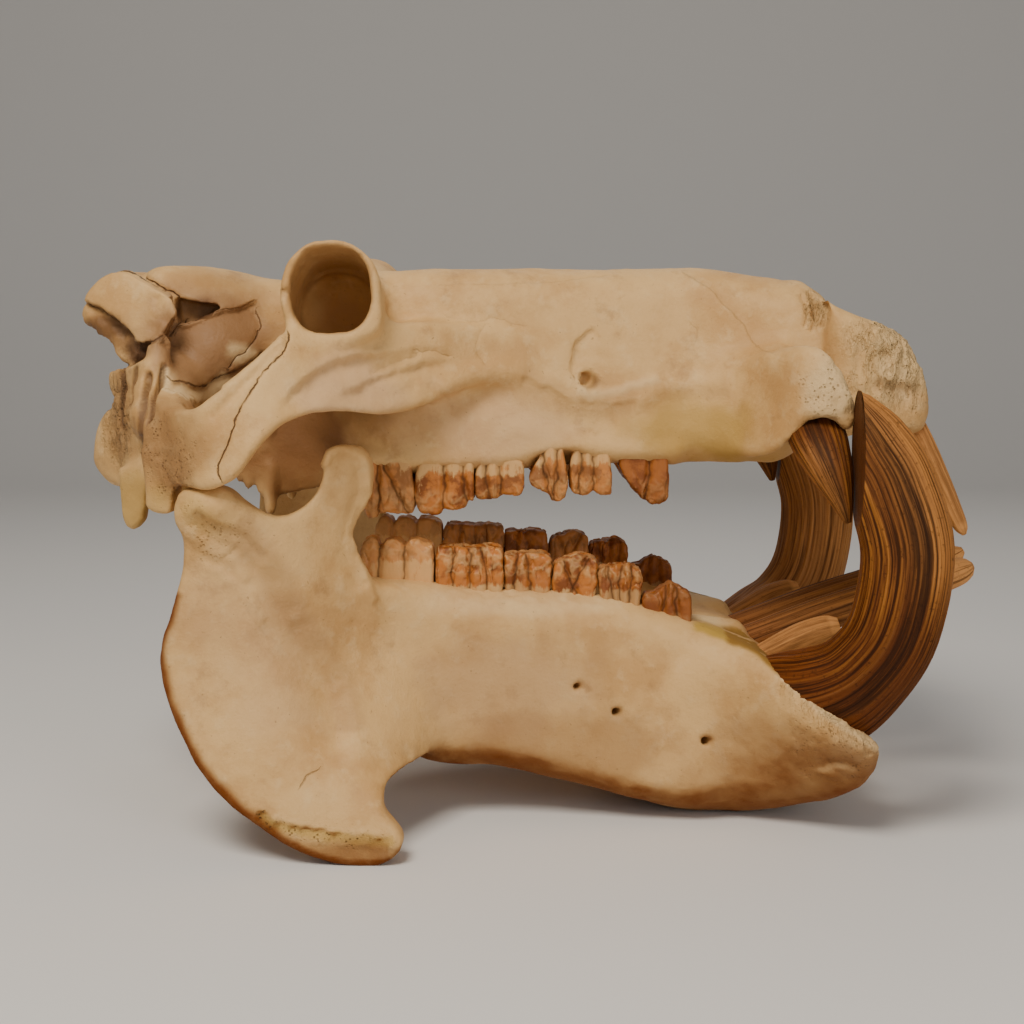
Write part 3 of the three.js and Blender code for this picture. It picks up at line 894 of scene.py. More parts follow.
@dataclass
class Bone:
    """What the cranium and the lower jaw share: growing, weathering and dressing."""

    node: str
    low: Point
    high: Point
    stains_and_shade: Sequence[TintPatch] = ()
    strokes: Sequence[Stroke] = ()

    def grow(self, block: Block) -> None:
        """Joins and cuts the bone's shapes on one side of the midline."""
        raise NotImplementedError

    def tints(self, places: Array, normals: Array) -> dict[str, Array]:
        """Strength of every tint at each place, from 0 to 1."""
        found = {name: np.zeros(len(places)) for name in TINTS}
        wander = 0.24 * fractal_noise(places, 24.0, 11)
        # Stains and patches of painted shade alike.
        for stain in self.stains_and_shade:
            found[stain.tint] = np.maximum(found[stain.tint], stain.weight(places, wander))
        for stroke in self.strokes:
            if stroke.tint:
                rows, gap, fade = stroke.near(places, normals)
                amount = stroke.strength * fade * (1.0 - smoothstep(0.3, 1.0, np.abs(gap) / stroke.width))
                found[stroke.tint][rows] = np.maximum(found[stroke.tint][rows], amount)
        return found

    def weather(self, places: Array, normals: Array) -> Array:
        """How far each vertex moves along its normal, in millimetres."""
        tints = self.tints(places, normals)
        moved = 0.65 * fractal_noise(places, 36.0, 21) + 0.3 * fractal_noise(places, 11.0, 22)
        moved -= 1.2 * np.maximum(fractal_noise(places, 5.0, 23), 0.0) * tints["rough"]
        columns = np.abs(fractal_noise(places * (1.0, 1.0, 0.4), 9.0, 24))
        moved += (1.4 - 4.8 * columns) * tints["fibre"]
        moved += 3.4 * fractal_noise(places, 8.0, 25) * tints["crumble"]
        for stroke in self.strokes:
            if stroke.height:
                rows, gap, fade = stroke.near(places, normals)
                moved[rows] += stroke.lift(gap) * fade
        return moved

    def skin(self) -> bpy.types.Mesh:
        """Grows the bone and returns its weathered mesh."""
        half = Block((self.low[0], BONE_STEP / 2, self.low[2]), self.high, BONE_STEP)
        self.grow(half)
        places, quads = half.mirrored().skin()
        mesh = make_mesh(self.node, places, quads)
        for _ in range(2):
            places = 0.5 * places + 0.5 * neighbour_mean(mesh, places)
        set_places(mesh, places)
        normals = normals_of(mesh)
        set_places(mesh, self.settle(places + normals * self.weather(places, normals)[:, None]))
        return thinned(mesh, BONE_TRIANGLES)

    def settle(self, places: Array) -> Array:
        """Last change to the vertices' places."""
        return places

    def dress(self, mesh: bpy.types.Mesh) -> None:
        """Stores the tints, lines and painted shade of hollows that the finish reads."""
        places, normals = places_of(mesh), normals_of(mesh)
        tints = self.tints(places, normals)
        # Painted shade: hollows of the surface are darkened through the dark tint.
        shade = 0.6 * smoothstep(0.7, 2.6, hollow_of(mesh, 5)) * (1.0 - 0.75 * tints["fibre"])
        tints["dark"] = np.maximum(tints["dark"], shade)
        side = np.full(len(places), FAR)
        near = np.zeros(len(places))
        for stroke in self.strokes:
            if not stroke.ink:
                continue
            rows, gap, fade = stroke.near(places, normals)
            closer = np.abs(gap) < np.abs(side[rows])
            side[rows[closer]] = gap[closer]
            near[rows[closer]] = (stroke.ink * fade * (1.0 - smoothstep(4.0, 6.0, np.abs(gap))))[closer]
        set_attributes(mesh, **tints, crack_side=np.clip(side, -8.0, 8.0), crack_near=near)

    def build(self, finish: bpy.types.Material) -> None:
        """Makes the bone and puts it in the scene."""
        mesh = self.skin()
        self.dress(mesh)
        place_piece(self.node, mesh, finish)


ORBIT_TILT = 0.2
ORBIT_REACH = 150.0
ORBIT_OUTSIDE = (
    (-174, 387), (-170, 404), (-164, 413), (-156, 420), (-145, 423), (-134, 423), (-123, 420), (-114, 413),
    (-109, 405), (-106, 396), (-105, 385), (-104, 373), (-107, 362), (-120, 354), (-141, 350), (-160, 354),
    (-169, 365), (-173, 378),
)
ORBIT_INSIDE = (
    (-168, 384), (-166, 396), (-162, 406), (-155, 415), (-147, 418), (-136, 419), (-125, 417), (-117, 410),
    (-113, 402), (-112, 392), (-112, 382), (-116, 371), (-122, 364), (-130, 361), (-143, 360), (-155, 362),
    (-162, 368), (-166, 376),
)
CHEEKBONE = (
    (0, 336), (-10, 358), (-45, 364), (-80, 366), (-105, 364), (-120, 357), (-141, 355), (-160, 357),
    (-168, 359), (-181, 345), (-192, 334), (-203, 325), (-214, 316), (-231, 306), (-248, 307),
    (-262, 312), (-275, 316), (-279, 300), (-275, 276), (-267, 264), (-256, 258), (-245, 256),
    (-232, 255), (-218, 255), (-208, 258), (-200, 263), (-193, 271), (-185, 282), (-176, 292),
    (-169, 298), (-160, 302), (-150, 305), (-141, 306), (-129, 305), (-119, 303), (-107, 302), (-96, 303),
    (-86, 305), (-70, 310), (-58, 316), (-40, 322), (-20, 326),
)
FRAGMENT = (
    (-303, 404), (-297, 404), (-288, 400), (-277, 394), (-267, 389), (-261, 385), (-258, 379), (-256, 373),
    (-258, 368), (-263, 362), (-268, 355), (-274, 352), (-282, 350), (-288, 352), (-292, 357), (-297, 363),
    (-305, 367), (-316, 375), (-328, 380), (-331, 383), (-328, 389), (-321, 396), (-313, 401),
)
BROKEN_EDGE = (
    (-332, 380), (-335, 372), (-331, 366), (-322, 362), (-314, 355), (-310, 349), (-307, 342), (-301, 337),
    (-292, 335), (-279, 337), (-268, 344), (-264, 356), (-275, 358), (-288, 360), (-300, 370), (-316, 380),
)
NECK_WALL = (
    (-315, 330), (-304, 332), (-290, 335), (-275, 338), (-268, 320), (-267, 290), (-270, 262), (-279, 250),
    (-299, 246), (-307, 245), (-315, 248), (-324, 255), (-330, 263), (-327, 275), (-321, 293), (-314, 303),
    (-310, 311), (-315, 320),
)
SNOUT = (
    (212, 384), (217, 379), (232, 372), (244, 368), (255, 364), (264, 359), (272, 353), (277, 344),
    (283, 333), (286, 321), (290, 304), (288, 294), (284, 287), (268, 284), (240, 286), (215, 290),
)
TUSK_BOSS = (
    (130, 336), (158, 342), (174, 346), (189, 350), (202, 346), (212, 334), (220, 318), (222, 300),
    (216, 292), (206, 299), (192, 299), (182, 287), (168, 273), (150, 270), (130, 290),
)


def cranium_strokes() -> list[Stroke]:
    """Ridges, sutures, breaks, pale edges and lines of painted shade of the upper skull."""
    facial = ((-64, 319), (-53, 326), (-35, 331), (-22, 332), (-4, 325), (14, 319), (27, 311), (49, 306),
              (72, 309), (89, 317), (111, 321), (143, 322))
    jugal = ((-172, 302), (-164, 316), (-156, 326), (-143, 337), (-129, 341), (-112, 343), (-95, 345),
             (-70, 349))
    second = ((-136, 314), (-124, 320), (-106, 328), (-86, 334), (-69, 338), (-52, 341))
    joint = ((-167, 359), (-166, 354), (-171, 343), (-178, 336), (-185, 328), (-190, 318), (-196, 307),
             (-200, 295), (-204, 283), (-209, 274), (-210, 268), (-208, 262))
    muzzle = ((113, 403), (132, 390), (141, 379), (154, 366), (161, 353), (170, 344))
    roof = ((-67, 393), (-40, 394), (-9, 395), (14, 396), (58, 401))
    seam = ((-306, 404), (-297, 404), (-288, 400), (-277, 394), (-267, 389), (-261, 385))
    plate = ((-266, 354), (-263, 359), (-259, 364), (-252, 366), (-248, 369), (-239, 373), (-230, 375),
             (-218, 377), (-208, 382))
    crack = ((-207, 374), (-202, 364), (-206, 354), (-212, 345), (-219, 340), (-222, 335))
    flake = ((-259, 328), (-257, 324), (-250, 324), (-243, 320), (-237, 323), (-230, 327), (-222, 329),
             (-210, 337), (-201, 344))
    temple = ((-250, 315), (-243, 309), (-231, 305), (-214, 315), (-203, 324), (-192, 333), (-181, 344),
              (-172, 356))
    under = ((-258, 368), (-263, 362), (-268, 355), (-274, 352), (-282, 350), (-288, 352), (-292, 357),
             (-297, 363), (-305, 367), (-316, 375), (-328, 380))
    fossa = ((31, 325), (28, 333), (29, 343), (34, 355), (43, 361))
    strokes = [
        Stroke(facial, 3.2, 13.0, depth=(60.0, 130.0)),
        Stroke(fossa, -2.6, 17.0, step=True, ink=0.12, depth=(55.0, 130.0), soft=1.5),
        Stroke(((34, 316), (46, 314), (60, 316), (76, 321), (92, 325)), 2.0, 5.0, tint="pale", strength=0.4,
               depth=(55.0, 130.0), wander=2.0),
        # Painted shade: brown on the step below the facial ridge.
        Stroke(((-6, 327), (10, 319), (25, 311), (54, 306), (74, 308)), -2.2, 13.0, step=True, tint="brown",
               strength=0.25, depth=(55.0, 130.0), wander=2.0, soft=2.0),
        Stroke(((-110, 331), (-97, 338), (-82, 343)), -1.4, 3.5, ink=0.12, depth=(80.0, FAR), wander=1.5),
        Stroke(((-84, 346), (-72, 346), (-60, 342)), -1.4, 3.0, ink=0.2, depth=(80.0, FAR), wander=1.5),
        Stroke(((-62, 371), (-42, 366), (-27, 369), (-7, 364)), -0.7, 2.2, ink=0.14, depth=(55.0, FAR),
               wander=1.5),
        Stroke(((-35, 365), (-39, 356), (-40, 345), (-35, 336)), -0.6, 2.0, ink=0.1, depth=(55.0, FAR)),
        Stroke(((118, 365), (121, 359), (120, 351)), -0.8, 2.4, ink=0.14, depth=(40.0, FAR)),
        Stroke(((-58, 305), (-30, 312), (0, 300), (30, 292), (60, 292)), -2.5, 16.0, depth=(60.0, 130.0)),
        Stroke(jugal, -5.0, 22.0, step=True, depth=(80.0, FAR), wander=1.5, soft=3.0, taper=0.25),
        Stroke(jugal[2:], 1.8, 7.0, depth=(80.0, FAR), wander=1.5, taper=0.3),
        Stroke(second, -3.6, 14.0, step=True, depth=(80.0, FAR), wander=1.5, soft=2.5, taper=0.35),
        Stroke(((-172, 350), (-186, 333), (-200, 317), (-214, 303)), -2.2, 5.0, depth=(120.0, FAR)),
        Stroke(((-178, 352), (-192, 337), (-206, 323)), 1.4, 4.0, depth=(120.0, FAR)),
        Stroke(((-150, 322), (-128, 316), (-104, 315), (-84, 320)), -1.6, 9.0, depth=(100.0, FAR)),
        Stroke(joint, -1.6, 2.4, ink=1.0, depth=(120.0, FAR)),
        Stroke(muzzle, 1.2, 16.0, step=True, ink=0.2, depth=(40.0, FAR)),
        Stroke(roof, -0.5, 1.8, ink=0.12, depth=(30.0, FAR)),
        Stroke(seam, -1.6, 2.6, ink=1.0, depth=(40.0, FAR)),
        Stroke(plate, -4.0, 34.0, step=True, ink=0.35, depth=(40.0, 120.0)),
        Stroke(crack, -0.9, 1.8, ink=0.7, depth=(30.0, 110.0), side=Side.RIGHT),
        Stroke(flake, -2.4, 12.0, step=True, ink=0.75, depth=(30.0, 120.0), side=Side.RIGHT),
        Stroke(temple, 1.6, 5.0, depth=(100.0, FAR)),
        # Painted shade: dark along the underside of the back fragment, over its dark break line.
        Stroke(under, -1.5, 2.6, ink=0.9, tint="dark", strength=0.6, depth=(40.0, 120.0)),
    ]
    # Painted shade: dark in the slits of the broken back of the head.
    for x, top, bottom, wide in ((-300, 334, 290, 4.4), (-286, 334, 300, 3.6), (-273, 330, 282, 4.4),
                                 (-264, 336, 290, 2.8)):
        slit = ((x + 1, top), (x, (top + bottom) / 2), (x - 1, bottom))
        strokes.append(Stroke(slit, -6.0, wide, tint="dark", strength=0.75, depth=(30.0, 150.0)))
    for x, top, bottom in ((198, 386, 364), (204, 388, 360), (210, 382, 363)):
        slit = ((x, top), (x + 2, (top + bottom) / 2), (x, bottom))
        strokes.append(Stroke(slit, -3.0, 2.8, ink=0.25, depth=(30.0, 120.0)))
    for edge, wide in ((((-253, 317), (-243, 314), (-234, 318), (-226, 325)), 6.0),
                       (((-222, 346), (-214, 346), (-206, 341)), 6.0),
                       (((-264, 334), (-260, 320), (-257, 310)), 5.0)):
        strokes.append(Stroke(edge, 0.0, wide, tint="pale", strength=0.85, depth=(40.0, 125.0), wander=2.5))
    # Painted shade: brown in the dent at the front of the snout.
    dent = ((248, 322), (262, 317), (277, 318))
    strokes.append(Stroke(dent, -3.0, 8.0, tint="brown", strength=0.35, depth=(50.0, FAR)))
    return strokes


# Painted shade among these patches: the brown and dark ones in the braincase and under the cheekbone arch,
# the brown one in the recess above the fourth premolar, the dark one in the infraorbital foramen, and the
# dark ones in the void and gap under the back fragment.
CRANIUM_STAINS_AND_SHADE = patches(
    yellow=((126, 80, 288, 74, 44, 34, 0.68), (-288, 106, 240, 20, 30, 34, 0.5),
            (-258, 146, 246, 18, 30, 18, 0.45)),
    brown=((130, 80, 284, 84, 44, 40, 0.16), (175, 120, 326, 16, 40, 24, 0.18),
           (206, 60, 372, 13, 50, 16, 0.25), (-246, 150, 282, 54, 70, 44, 0.7),
           (-308, 54, 358, 34, 40, 22, 0.7), (-296, 76, 296, 36, 60, 60, 0.65),
           (-236, 68, 348, 74, 62, 52, 0.8), (-170, 52, 284, 88, 52, 64, 1),
           (-232, 54, 392, 54, 60, 22, 0.42), (22, 70, 268, 30, 24, 9, 0.5)),
    dark=((44, 76, 324, 9, 13, 8, 0.85), (-310, 54, 364, 26, 30, 10, 0.6),
          (-282, 72, 344, 22, 24, 11, 0.85), (-236, 68, 348, 74, 50, 52, 0.12),
          (-158, 52, 290, 60, 40, 44, 0.3), (-250, 54, 375, 20, 14, 12, 1)),
    pale=((262, 70, 338, 48, 60, 44, 0.45), (203, 146, 322, 25, 40, 34, 0.7),
          (-213, 66, 342, 14, 40, 10, 0.8), (-260, 92, 318, 8, 40, 16, 0.8)),
    crumble=((204, 148, 316, 22, 40, 34, 0.4), (268, 80, 326, 40, 60, 54, 0.25),
             (-312, 56, 362, 30, 30, 20, 0.9), (-282, 76, 344, 24, 30, 14, 0.9),
             (-290, 86, 306, 34, 60, 46, 0.6), (-20, 84, 258, 130, 40, 7, 0.35),
             (-141, 148, 386, 46, 9, 46, 0.3), (-270, 84, 372, 12, 40, 22, 0.5)),
    rough=((203, 146, 320, 28, 40, 38, 0.8), (262, 80, 330, 52, 60, 62, 0.6),
           (206, 60, 374, 16, 50, 20, 0.8), (-244, 150, 274, 46, 60, 38, 0.8),
           (-298, 76, 290, 34, 60, 54, 0.85), (40, 80, 322, 22, 20, 14, 0.5)),
    fibre=((258, 90, 338, 44, 60, 44, 0.9), (206, 60, 376, 12, 50, 17, 0.9),
           (-302, 70, 296, 36, 60, 56, 0.7)),
    rosy=((-118, 150, 322, 74, 60, 32, 0.6), (-30, 90, 290, 80, 40, 34, 0.45),
          (-236, 68, 348, 66, 62, 46, 0.7)),
)


@dataclass
class Cranium(Bone):
    """Upper skull: long flat muzzle, raised eye sockets, flared cheekbones and a broken back of the head."""

    node: str = "cranium"
    low: Point = (-346.0, 0.0, 206.0)
    high: Point = (302.0, 212.0, 432.0)
    stains_and_shade: Sequence[TintPatch] = CRANIUM_STAINS_AND_SHADE
    strokes: Sequence[Stroke] = field(default_factory=cranium_strokes)
    body: Sequence[Stop] = (
        (-300, 44, 46, 296, 398, 22),
        (-282, 60, 60, 286, 407, 26),
        (-255, 58, 62, 280, 408, 28),
        (-205, 40, 50, 284, 400, 24),
        (-165, 50, 56, 274, 398, 26),
        (-130, 76, 78, 264, 402, 26),
        (-90, 82, 88, 257, 405, 28),
        (-40, 77, 87, 257, 406, 30),
        (20, 67, 83, 260, 406, 30),
        (80, 59, 77, 263, 406, 28),
        (127, 57, 74, 262, 407, 28),
        (160, 62, 82, 263, 402, 28),
        (186, 68, 92, 266, 398, 28),
        (202, 68, 92, 278, 396, 26),
        (213, 70, 90, 286, 387, 24),
        (223, 76, 90, 288, 375, 24),
        (242, 80, 88, 290, 366, 22),
        (262, 76, 82, 292, 352, 22),
    )
    cheekbone: Sequence[Stop] = (
        (-280, 96, 0, 16),
        (-268, 116, 0, 16),
        (-250, 145, -0.05, 15),
        (-225, 168, -0.12, 12),
        (-200, 175, -0.2, 10),
        (-170, 170, -0.45, 9),
        (-140, 150, -0.45, 9.5),
        (-105, 122, -0.25, 11),
        (-70, 97, -0.15, 12),
        (-40, 80, -0.1, 12),
        (0, 64, 0, 12),
    )

    def grow(self, block: Block) -> None:
        """Joins and cuts the cranium's shapes on one side of the midline."""
        self.grow_masses(block)
        self.grow_back(block)
        self.grow_front(block)
        self.cut_hollows(block)

    def tints(self, places: Array, normals: Array) -> dict[str, Array]:
        """Strength of every tint at each place; the eye sockets get painted shade, brown inside."""
        found = super().tints(places, normals)
        across = np.abs(places[:, 1])
        rim = closed_line(ORBIT_INSIDE, 72)
        inside = outline_distance(rim, places[:, 0], places[:, 2] + ORBIT_TILT * (ORBIT_REACH - across))
        deep = (1.0 - smoothstep(1.0, 3.0, inside)) * smoothstep(70.0, 76.0, across)
        # Painted shade: brown inside the eye sockets.
        found["brown"] = np.maximum(found["brown"], 0.48 * deep * smoothstep(152.0, 146.0, across))
        return found

    def grow_masses(self, block: Block) -> None:
        """Main body, braincase, eye sockets and cheekbones."""
        block.join(Loft(self.body))
        block.join(Ball((-246, 0, 344), (58, 74, 54)), 18)
        eye = ((-176, 99, 0, 49), (-141, 98, 0, 49), (-104, 94, 0, 48))
        block.join(Plate(ORBIT_OUTSIDE, eye, 0, 4, ORBIT_TILT), 14)
        block.join(Plate(CHEEKBONE, self.cheekbone, 320, 5), 12)
        block.join(Bar(((-108, 92, 352, 12), (-72, 87, 353, 11))), 8)
        block.join(Bar(((-254, 134, 290, 22, 20), (-264, 100, 304, 22, 24), (-262, 60, 320, 24, 26))), 12)
        block.join(Bar(((-120, 64, 268, 22, 10), (-40, 63, 268, 22, 10), (30, 60, 274, 18, 9),
                        (104, 58, 272, 16, 10))), 8)
        block.join(Bar(((-104, 50, 278, 8, 26), (-140, 46, 274, 6, 28), (-176, 50, 272, 5, 32),
                        (-200, 56, 268, 5, 30), (-214, 54, 276, 5, 22))), 10)
        block.join(Bar(((-196, 56, 258, 7, 5), (-196, 58, 227, 6, 4)), (1, 0, 0), 4), 6)

    def grow_back(self, block: Block) -> None:
        """Back of the head: the loose-looking fragment, the broken edge under it and the neck joints."""
        block.join(Bar(((-296, -20, 396, 9, 11), (-308, 24, 392, 9, 11), (-316, 50, 386, 8, 10))), 12)
        block.join(Bar(((-276, 114, 300, 9), (-270, 104, 326, 9), (-268, 94, 350, 8))), 12)
        wall = ((-332, 34, 0, 13), (-310, 52, 0, 12), (-290, 82, 0, 12), (-266, 106, 0, 12))
        block.join(Plate(NECK_WALL, wall, 300, 4), 6)
        block.join(Ball((-312, 38, 272), (18, 25, 29)), 8)
        edge = ((-336, 44, 0, 8), (-300, 58, 0, 9), (-262, 76, 0, 10))
        block.join(Plate(BROKEN_EDGE, edge, 360, 3), 4)
        loose = ((-332, 52, -0.25, 8), (-300, 67, -0.25, 9), (-255, 84, -0.25, 9))
        block.join(Plate(FRAGMENT, loose, 375, 2.2), 1.5)
        process = ((-299, 262), (-276, 266), (-280, 230), (-284, 221), (-290, 217), (-296, 221),
                   (-298, 236))
        block.join(Plate(process, ((-300, 92, 0.1, 8), (-275, 98, 0.1, 9)), 240, 4), 10)
        lip = ((-271, 280), (-268, 252), (-267, 238), (-251, 235), (-247, 245), (-244, 280))
        block.join(Plate(lip, ((-272, 136, 0, 17), (-243, 148, 0, 17)), 0, 3), 6)
        block.join(Ball((-262, 72, 268), (22, 18, 16)), 8)

    def grow_front(self, block: Block) -> None:
        """Tusk bosses and the two halves of the snout."""
        boss = ((128, 52, -0.1, 12), (152, 72, -0.12, 15), (178, 106, -0.14, 26), (204, 126, -0.14, 24),
                (224, 128, -0.14, 22))
        block.join(Plate(TUSK_BOSS, boss, 318, 9), 18)
        block.join(Plate(SNOUT, ((210, 58, 0, 38), (250, 56, 0, 42), (292, 52, 0, 36)), 0, 12), 8)

    def cut_hollows(self, block: Block) -> None:
        """Eye sockets, palate, nose, foramina and broken places."""
        tunnel = ((-170, 116, 0, 34), (-110, 116, 0, 34))
        block.cut(Plate(ORBIT_INSIDE, tunnel, 0, 1, ORBIT_TILT), 3)
        block.cut(Ball((-139.5, 80, 374), (30, 22, 28)), 4)
        for x, z, size in ((-114, 400, 4), (-110, 387, 3.5), (-171, 386, 4), (-130, 417, 3.5)):
            block.cut(Ball((x, 149, z), (size, 5, size)), 1)
        block.cut(Loft(((-140, 22, 30, 240, 282, 10), (-60, 30, 38, 240, 284, 12),
                        (60, 30, 40, 240, 282, 12), (190, 40, 50, 240, 280, 10),
                        (262, 30, 40, 250, 292, 8))), 10)
        block.cut(Loft(((-330, 14, 14, 304, 334, 13), (-262, 14, 14, 304, 330, 13))), 6)
        block.cut(Ball((252, 0, 376), (66, 46, 32)), 8)
        block.cut(Ball((292, 0, 320), (24, 12, 60)), 6)
        void = ((-264, 385), (-248, 381), (-231, 378), (-244, 371), (-259, 366))
        block.cut(Plate(void, ((-270, 66, 0, 20), (-230, 60, 0, 20)), 0, 0.5), 1)
        block.cut(Ball((54, 87, 342), (26, 12, 16)), 12)
        block.cut(Bar(((52, 92, 325, 6.5), (38, 66, 324, 5))), 4)
        block.cut(Ball((22, 80, 260), (25, 22, 13)), 6)
        block.cut(Bar(((218, 116, 350, 5), (226, 106, 310, 7))), 6)


class Ramus(Plate):
    """Rising plate of the lower jaw, flared outwards at its corner and stout along its rim."""

    def lie(self, x: Array, z: Array) -> tuple[Array, Array]:
        """Middle of the plate and half its thickness at places in the X-Z plane."""
        at_teeth = 84.0 + 82.0 * smoothstep(50.0, 200.0, -x)
        hook = 1.0 - smoothstep(20.0, 62.0, z)
        flare = smoothstep(0.0, 1.0, (-x - 50.0 + 12.0 * hook) / (75.0 - 22.0 * hook))
        corner = (1.0 - smoothstep(15.0, 150.0, z)) * flare
        middle = at_teeth + (192.0 - at_teeth) * corner
        rim = smoothstep(-200.0, -246.0, x) * (1.0 - smoothstep(150.0, 230.0, z))
        low = 1.0 - smoothstep(6.0, 60.0, z)
        joint = smoothstep(205.0, 240.0, z) * smoothstep(180.0, 205.0, -x)
        front = 3.0 * smoothstep(-120.0, -80.0, x)
        return middle, 7.5 + 2.5 * np.maximum(rim, low) + front + 6.0 * joint


RAMUS = (
    (-241, 251), (-244, 241), (-243, 230), (-239, 220), (-240, 200), (-245, 180), (-250, 163),
    (-255, 147), (-256, 130), (-250, 107), (-240, 85), (-227, 63), (-211, 44), (-187, 26), (-164, 11),
    (-141, 2), (-122, -1), (-108, -1), (-98, 3), (-91, 10), (-89, 18), (-94, 27), (-101, 35), (-103, 42),
    (-102, 49), (-95, 53), (-84, 55), (-70, 60), (-62, 90), (-62, 150), (-90, 172), (-112, 180),
    (-122, 194), (-128, 214), (-125, 228), (-117, 245), (-114, 261), (-116, 272), (-123, 280),
    (-134, 281), (-142, 279), (-146, 273), (-147, 260), (-151, 249), (-159, 240), (-168, 235),
    (-178, 235), (-187, 239), (-198, 246), (-208, 252), (-221, 254), (-234, 254),
)


def mandible_strokes() -> list[Stroke]:
    """Ridges, valleys, stained edges and lines of painted shade of the lower jaw."""
    lip = ((-146, 268), (-141, 276), (-133, 278), (-124, 274), (-118, 263), (-118, 248), (-124, 231),
           (-128, 216), (-126, 200), (-119, 183), (-115, 170))
    valley = ((-205, 228), (-186, 205), (-174, 186), (-167, 165), (-155, 145), (-139, 120), (-131, 100),
              (-129, 86), (-122, 50))
    rim = ((-246, 182), (-257, 148), (-256, 128), (-250, 106), (-240, 85), (-226, 63), (-208, 44), (-185, 26),
           (-163, 12), (-141, 4), (-120, 1), (-97, 2))
    strip = ((-187, 35), (-171, 27), (-153, 23), (-135, 20), (-115, 19), (-95, 18))
    socket = ((120, 144), (143, 137), (162, 131), (175, 120), (186, 111), (204, 97), (220, 87), (238, 73))
    return [
        Stroke(lip, 2.2, 5.0, depth=(90.0, FAR)),
        Stroke(lip[4:10], -2.0, 12.0, step=True, depth=(90.0, FAR)),
        Stroke(valley, -6.5, 40.0, step=True, depth=(90.0, FAR), wander=2.0, soft=8.0, taper=0.15),
        # Painted shade: brown along the valley of the ramus.
        Stroke(valley[:8], 0.0, 17.0, tint="brown", strength=0.34, depth=(90.0, FAR), wander=2.0),
        Stroke(((-132, 201), (-123, 179), (-114, 155), (-95, 127)), 2.4, 12.0, depth=(80.0, FAR),
               wander=2.0, taper=0.4),
        Stroke(((-232, 226), (-222, 216), (-206, 206), (-196, 192)), 2.2, 8.0, depth=(120.0, FAR)),
        # Painted shade: brown in the groove below the jaw joint.
        Stroke(((-228, 238), (-214, 228), (-200, 222), (-184, 206)), -2.0, 6.0, tint="brown", strength=0.3,
               depth=(120.0, FAR)),
        Stroke(((-222, 200), (-208, 192), (-196, 180), (-186, 164)), 1.2, 6.0, depth=(120.0, FAR)),
        Stroke(rim, 0.0, 9.5, tint="ochre", strength=1.0, depth=(120.0, FAR)),
        Stroke(((-75, 52), (-31, 46), (1, 38), (47, 26), (91, 17), (140, 10), (176, 14), (206, 24)), 0.0,
               11.0, tint="ochre", strength=0.9, depth=(60.0, FAR), wander=2.0),
        Stroke(((-170, 8), (-150, 5), (-125, 6), (-98, 7)), 0.0, 17.0, tint="ochre", strength=0.7,
               depth=(120.0, FAR), wander=2.0),
        Stroke(strip, -1.0, 5.0, tint="yellow", strength=0.6, depth=(150.0, FAR), wander=2.0),
        Stroke(strip, 0.0, 8.0, tint="crumble", strength=0.5, depth=(150.0, FAR)),
        Stroke(strip, 0.0, 8.0, tint="rough", strength=1.0, depth=(150.0, FAR)),
        Stroke(((-158, 53), (-154, 59), (-148, 62)), -0.6, 1.6, ink=0.45, depth=(150.0, FAR),
               side=Side.RIGHT),
        Stroke(socket[:4], 0.0, 4.0, tint="yellow", strength=1.0, depth=(60.0, FAR)),
        Stroke(socket[1:4], 0.0, 4.0, tint="ochre", strength=0.55, depth=(60.0, FAR)),
        Stroke(socket[1:4], 0.0, 4.0, tint="dark", strength=0.14, depth=(60.0, FAR)),
        Stroke(socket[3:], 1.4, 6.0, tint="pale", strength=0.6, depth=(60.0, FAR)),
        Stroke(socket[3:], 0.0, 17.0, tint="fibre", strength=0.55, depth=(60.0, FAR), wander=4.0),
        # Painted shadow: brown in the notch at the chin.
        Stroke(((206, 58), (213, 60), (224, 58)), -2.0, 6.0, tint="brown", strength=0.45, depth=(80.0, FAR)),
        Stroke(((203, 51), (213, 49)), 1.2, 5.0, depth=(80.0, FAR)),
        Stroke(((34, 105), (42, 100)), 0.0, 4.0, tint="brown", strength=0.6, depth=(60.0, FAR)),
    ]


# Painted shade among these patches: the brown ones in the valley of the ramus, at the coronoid tip under the
# cheekbone, along the lower half of the body and on the chin.
MANDIBLE_STAINS_AND_SHADE = patches(
    brown=((-148, 160, 140, 26, 60, 70, 0.16), (176, 130, 36, 130, 90, 64, 0.38),
           (-132, 130, 254, 28, 60, 36, 0.3), (20, 104, 54, 130, 60, 46, 0.5),
           (-20, 104, 112, 120, 50, 50, 0.24)),
    rosy=((-190, 180, 150, 60, 60, 90, 0.25), (-20, 104, 100, 90, 40, 50, 0.3)),
    rough=((-222, 170, 228, 30, 50, 30, 0.6), (216, 160, 72, 56, 60, 60, 0.45)),
    yellow=((-224, 170, 240, 26, 50, 20, 0.3),),
    pale=((226, 150, 70, 34, 60, 34, 0.25), (134, 52, 148, 26, 26, 16, 0.9),
          (0, 90, 164, 120, 40, 14, 0.35)),
    crumble=((0, 84, 166, 130, 40, 8, 0.35),),
)


